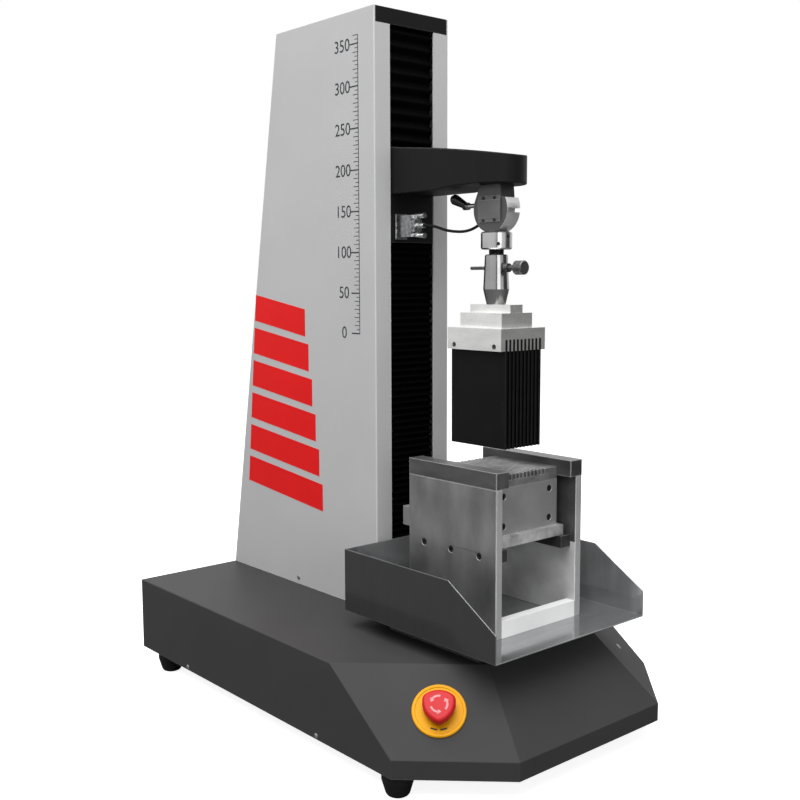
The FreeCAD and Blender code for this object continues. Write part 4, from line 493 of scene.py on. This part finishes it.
spline.order_u = lead["order"]
spline.use_endpoint_u = True
spline.resolution_u = lead["smoothness"]
curve.bevel_depth = lead["diameter"] / 2
curve.bevel_resolution = lead["roundness"]
curve.use_fill_caps = True
curve.materials.append(materials["rubber"])
leadPiece = bpy.data.objects.new("sensorLead", curve)
bpy.context.collection.objects.link(leadPiece)
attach(leadPiece, "crosshead")
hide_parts("sensor_cable")
print("lead done")

# Travel scale on the column's left side, in plain ticks and numbers. Its outer face is at
# side, every tenth tick is long and wide, and every second one is of middle length.
scale = {"side": -0.06012, "line": 0.013, "from": 0.470, "to": 0.830, "step": 0.005,
         "numberSize": 0.021, "numberAt": 0.044, "thick": 0.00012, "lineHalf": 0.0006,
         "reach": (0.016, 0.010, 0.006), "half": (0.0008, 0.0004), "long": 10, "middle": 2}


# Thin plates on the column's left side, from an array of plates by four corners (y, z). Each
# plate's points are its corners on the column and again on the outer face, a thickness away,
# and its faces are the two caps and a quad along each of the four edges.
def flatPlates(corners):
    plates = len(corners)
    points = np.empty((plates, 2, 4, 3))
    points[:, 0, :, 0] = scale["side"] + scale["thick"]
    points[:, 1, :, 0] = scale["side"]
    points[..., 1:] = corners[:, None]
    ring = np.arange(4)
    after = (ring + 1) % 4
    one = np.vstack([ring, ring[::-1] + 4, np.stack([after, ring, ring + 4, after + 4], -1)])
    faces = (np.arange(plates) * 8)[:, None, None] + one
    return points.reshape(-1, 3), faces.reshape(-1, 4)


# Upright rectangles from their lowest and highest y and z: corners in turn round each one
def strips(yLow, zLow, yHigh, zHigh):
    yLow, zLow, yHigh, zHigh = np.broadcast_arrays(yLow, zLow, yHigh, zHigh)
    return np.stack([np.stack([yLow, yHigh, yHigh, yLow], -1),
                     np.stack([zLow, zLow, zHigh, zHigh], -1)], -1)


steps = int(round((scale["to"] - scale["from"]) / scale["step"]))
tick = np.arange(steps + 1)
tickZ = scale["from"] + tick * scale["step"]
isLong, isMiddle = tick % scale["long"] == 0, tick % scale["middle"] == 0
reach = np.where(isLong, scale["reach"][0], np.where(isMiddle, *scale["reach"][1:]))
half = np.where(isLong, *scale["half"])
backbone = strips(np.array([scale["line"] - scale["lineHalf"]]), scale["from"],
                  scale["line"] + scale["lineHalf"], scale["to"])
marks, quads = flatPlates(np.concatenate([
    backbone, strips(scale["line"], tickZ - half, scale["line"] + reach, tickZ + half)]))
ticks = addPiece("travelScale", marks, quads, "darkInk", smooth=False)
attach(ticks, "frame")
sideTurn = Matrix(((0, 0, -1), (-1, 0, 0), (0, 1, 0))).to_4x4()
for k in range(0, steps + 1, scale["long"]):
    words = bpy.data.curves.new("scaleNumber%02d" % k, "FONT")
    words.body = str(round(k * scale["step"] * 1000))
    words.size = scale["numberSize"]
    words.align_x, words.align_y = "CENTER", "CENTER"
    words.extrude = scale["thick"] / 2
    written = bpy.data.objects.new("written", words)
    shape = bpy.data.meshes.new_from_object(written)
    bpy.data.objects.remove(written)
    shape.transform(Matrix.Translation((scale["side"] + scale["thick"] / 2, scale["numberAt"],
                                        scale["from"] + k * scale["step"])) @ sideTurn)
    shape.materials.clear()
    shape.materials.append(materials["darkInk"])
    number = bpy.data.objects.new("scaleNumber%02d" % k, shape)
    bpy.context.collection.objects.link(number)
    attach(number, "frame")

# Red accent: slanting bars on the lower part of the same side, shorter towards the top. A
# bar's rear edge leans with the column's, and its rear corners stand one slant higher.
accent = {"front": 0.094, "bars": 6, "low": 0.232, "height": 0.036, "gap": 0.010,
          "rear": 0.272, "lean": 0.10, "slant": 0.018, "shrink": 0.007}
bar = np.arange(accent["bars"])
barLow = accent["low"] + bar * (accent["height"] + accent["gap"])
barTop = barLow + accent["height"]
front = accent["front"] + accent["shrink"] * bar
rear = accent["rear"] - accent["lean"] * (barLow - accent["low"])
rearTop = rear - accent["lean"] * accent["height"]
points, faces = flatPlates(np.stack([
    np.stack([front, rear, rearTop, front], -1),
    np.stack([barLow, barLow + accent["slant"], barTop + accent["slant"], barTop], -1)], -1))
bars = addPiece("redAccent", points, faces, "redInk", smooth=False)
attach(bars, "frame")
print("column artwork done")

# Marks on the emergency stop: three arrows on its head, short dark arcs on its plate
stop = {"centre": (-0.1513675, -0.2304076, 0.08425), "turn": 136.5, "arrows": 3,
        "normal": (-0.48645716, -0.51318557, 0.70710678), "level": 0.02015,
        "radius": 0.0088, "width": 0.0022, "from": 20, "to": 84, "thick": 0.0003,
        "tipReach": 24, "tailBack": 2, "tipHalf": 0.00275, "arcPoints": 17,
        "plateLevel": 0.0022, "plateRadius": 0.0208, "plateWidth": 0.0016,
        "plateArcs": ((202, 222), (231, 251), (22, 42), (51, 71))}
upright = Vector((0, 0, 1)).rotation_difference(Vector(stop["normal"])).to_matrix()


# Points round the stop's axis: radius times the cosine and the sine of the angle, which is
# in degrees, at the given level
def around(radius, angle, level):
    radius, angle, level = np.broadcast_arrays(radius, np.radians(angle), level)
    return np.stack([radius * np.cos(angle), radius * np.sin(angle), level], -1)


# Flat arcs from rows of start and end angles: the points of an arc lie half a width inside and
# outside its radius at even angles, and its faces are the quads between the two rows
def arcs(spans, radius, width, level):
    spans, columns = np.array(spans, float), stop["arcPoints"]
    angle = np.linspace(spans[:, 0], spans[:, 1], columns, axis=-1)[:, None, :]
    edge = np.array([radius - width / 2, radius + width / 2])[None, :, None]
    points = around(edge, angle, level).reshape(-1, 3)
    first = (np.arange(len(spans)) * 2 * columns)[:, None, None]
    return points, (first + gridFaces(2, columns)[:, [0, 3, 2, 1]]).reshape(-1, 4)


# Marks drawn round the stop's axis, turned onto its sloping panel and moved to its centre
def stopMarks(name, points, faces, finish, body):
    placed = points @ np.array(upright).T + np.array(stop["centre"])
    made = addPiece(name, placed, faces, finish, smooth=False)
    thick = made.modifiers.new("thickness", "SOLIDIFY")
    thick.thickness, thick.offset = stop["thick"], -1
    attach(made, body)


start = stop["turn"] + 360 / stop["arrows"] * np.arange(stop["arrows"])
points, faces = arcs(np.stack([start + stop["from"], start + stop["to"]], -1), stop["radius"],
                     stop["width"], stop["level"])
tail, tip = start + stop["to"] - stop["tailBack"], start + stop["to"] + stop["tipReach"]
tips = around(stop["radius"] + stop["tipHalf"] * np.array([-1, 1, 0]),
              np.stack([tail, tail, tip], -1), stop["level"]).reshape(-1, 3)
tipFaces = np.arange(len(tips)).reshape(-1, 3) + len(points)
stopMarks("stopArrows", np.vstack([points, tips]), [*faces, *tipFaces], "paleInk",
          "stop_head_body")
points, faces = arcs(stop["plateArcs"], stop["plateRadius"], stop["plateWidth"],
                     stop["plateLevel"] + stop["thick"])
stopMarks("plateMarks", points, faces, "darkInk", "frame")
print("stop marks done")

# Floor, which shows white to the camera, keeps the shadow and throws back little light
floor = {"half": 6.0, "lift": 0.86, "level": -0.0002, "grey": 120, "seen": 206,
         "rough": 0.8}
half, level = floor["half"], floor["level"]
floorMesh = bpy.data.meshes.new("floor")
floorMesh.from_pydata([(-half, -half, level), (half, -half, level), (half, half, level),
                       (-half, half, level)], [], [(0, 1, 2, 3)])
floorPiece = bpy.data.objects.new("floor", floorMesh)
bpy.context.collection.objects.link(floorPiece)
paper = material("floorPaper", linear(*[floor["grey"]] * 3), floor["rough"], spread=0.01,
                 scale=3, grain=0.03, specular=0.1)
tree = paper.node_tree
glow = tree.nodes.new("ShaderNodeEmission")
glow.inputs["Color"].default_value = (1, 1, 1, 1)
glow.inputs["Strength"].default_value = floor["lift"]
bright = tree.nodes.new("ShaderNodeBsdfDiffuse")
bright.inputs["Color"].default_value = linear(*[floor["seen"]] * 3)
both, mix = tree.nodes.new("ShaderNodeAddShader"), tree.nodes.new("ShaderNodeMixShader")
plain, end = tree.nodes["Principled BSDF"], tree.nodes["Material Output"]
tree.links.new(bright.outputs[0], both.inputs[0])
tree.links.new(glow.outputs[0], both.inputs[1])
tree.links.new(rayMask(tree, ("Is Camera Ray",)), mix.inputs[0])
tree.links.new(plain.outputs[0], mix.inputs[1])
tree.links.new(both.outputs[0], mix.inputs[2])
tree.links.new(mix.outputs[0], end.inputs["Surface"])
floorMesh.materials.append(paper)

print("pieces done")
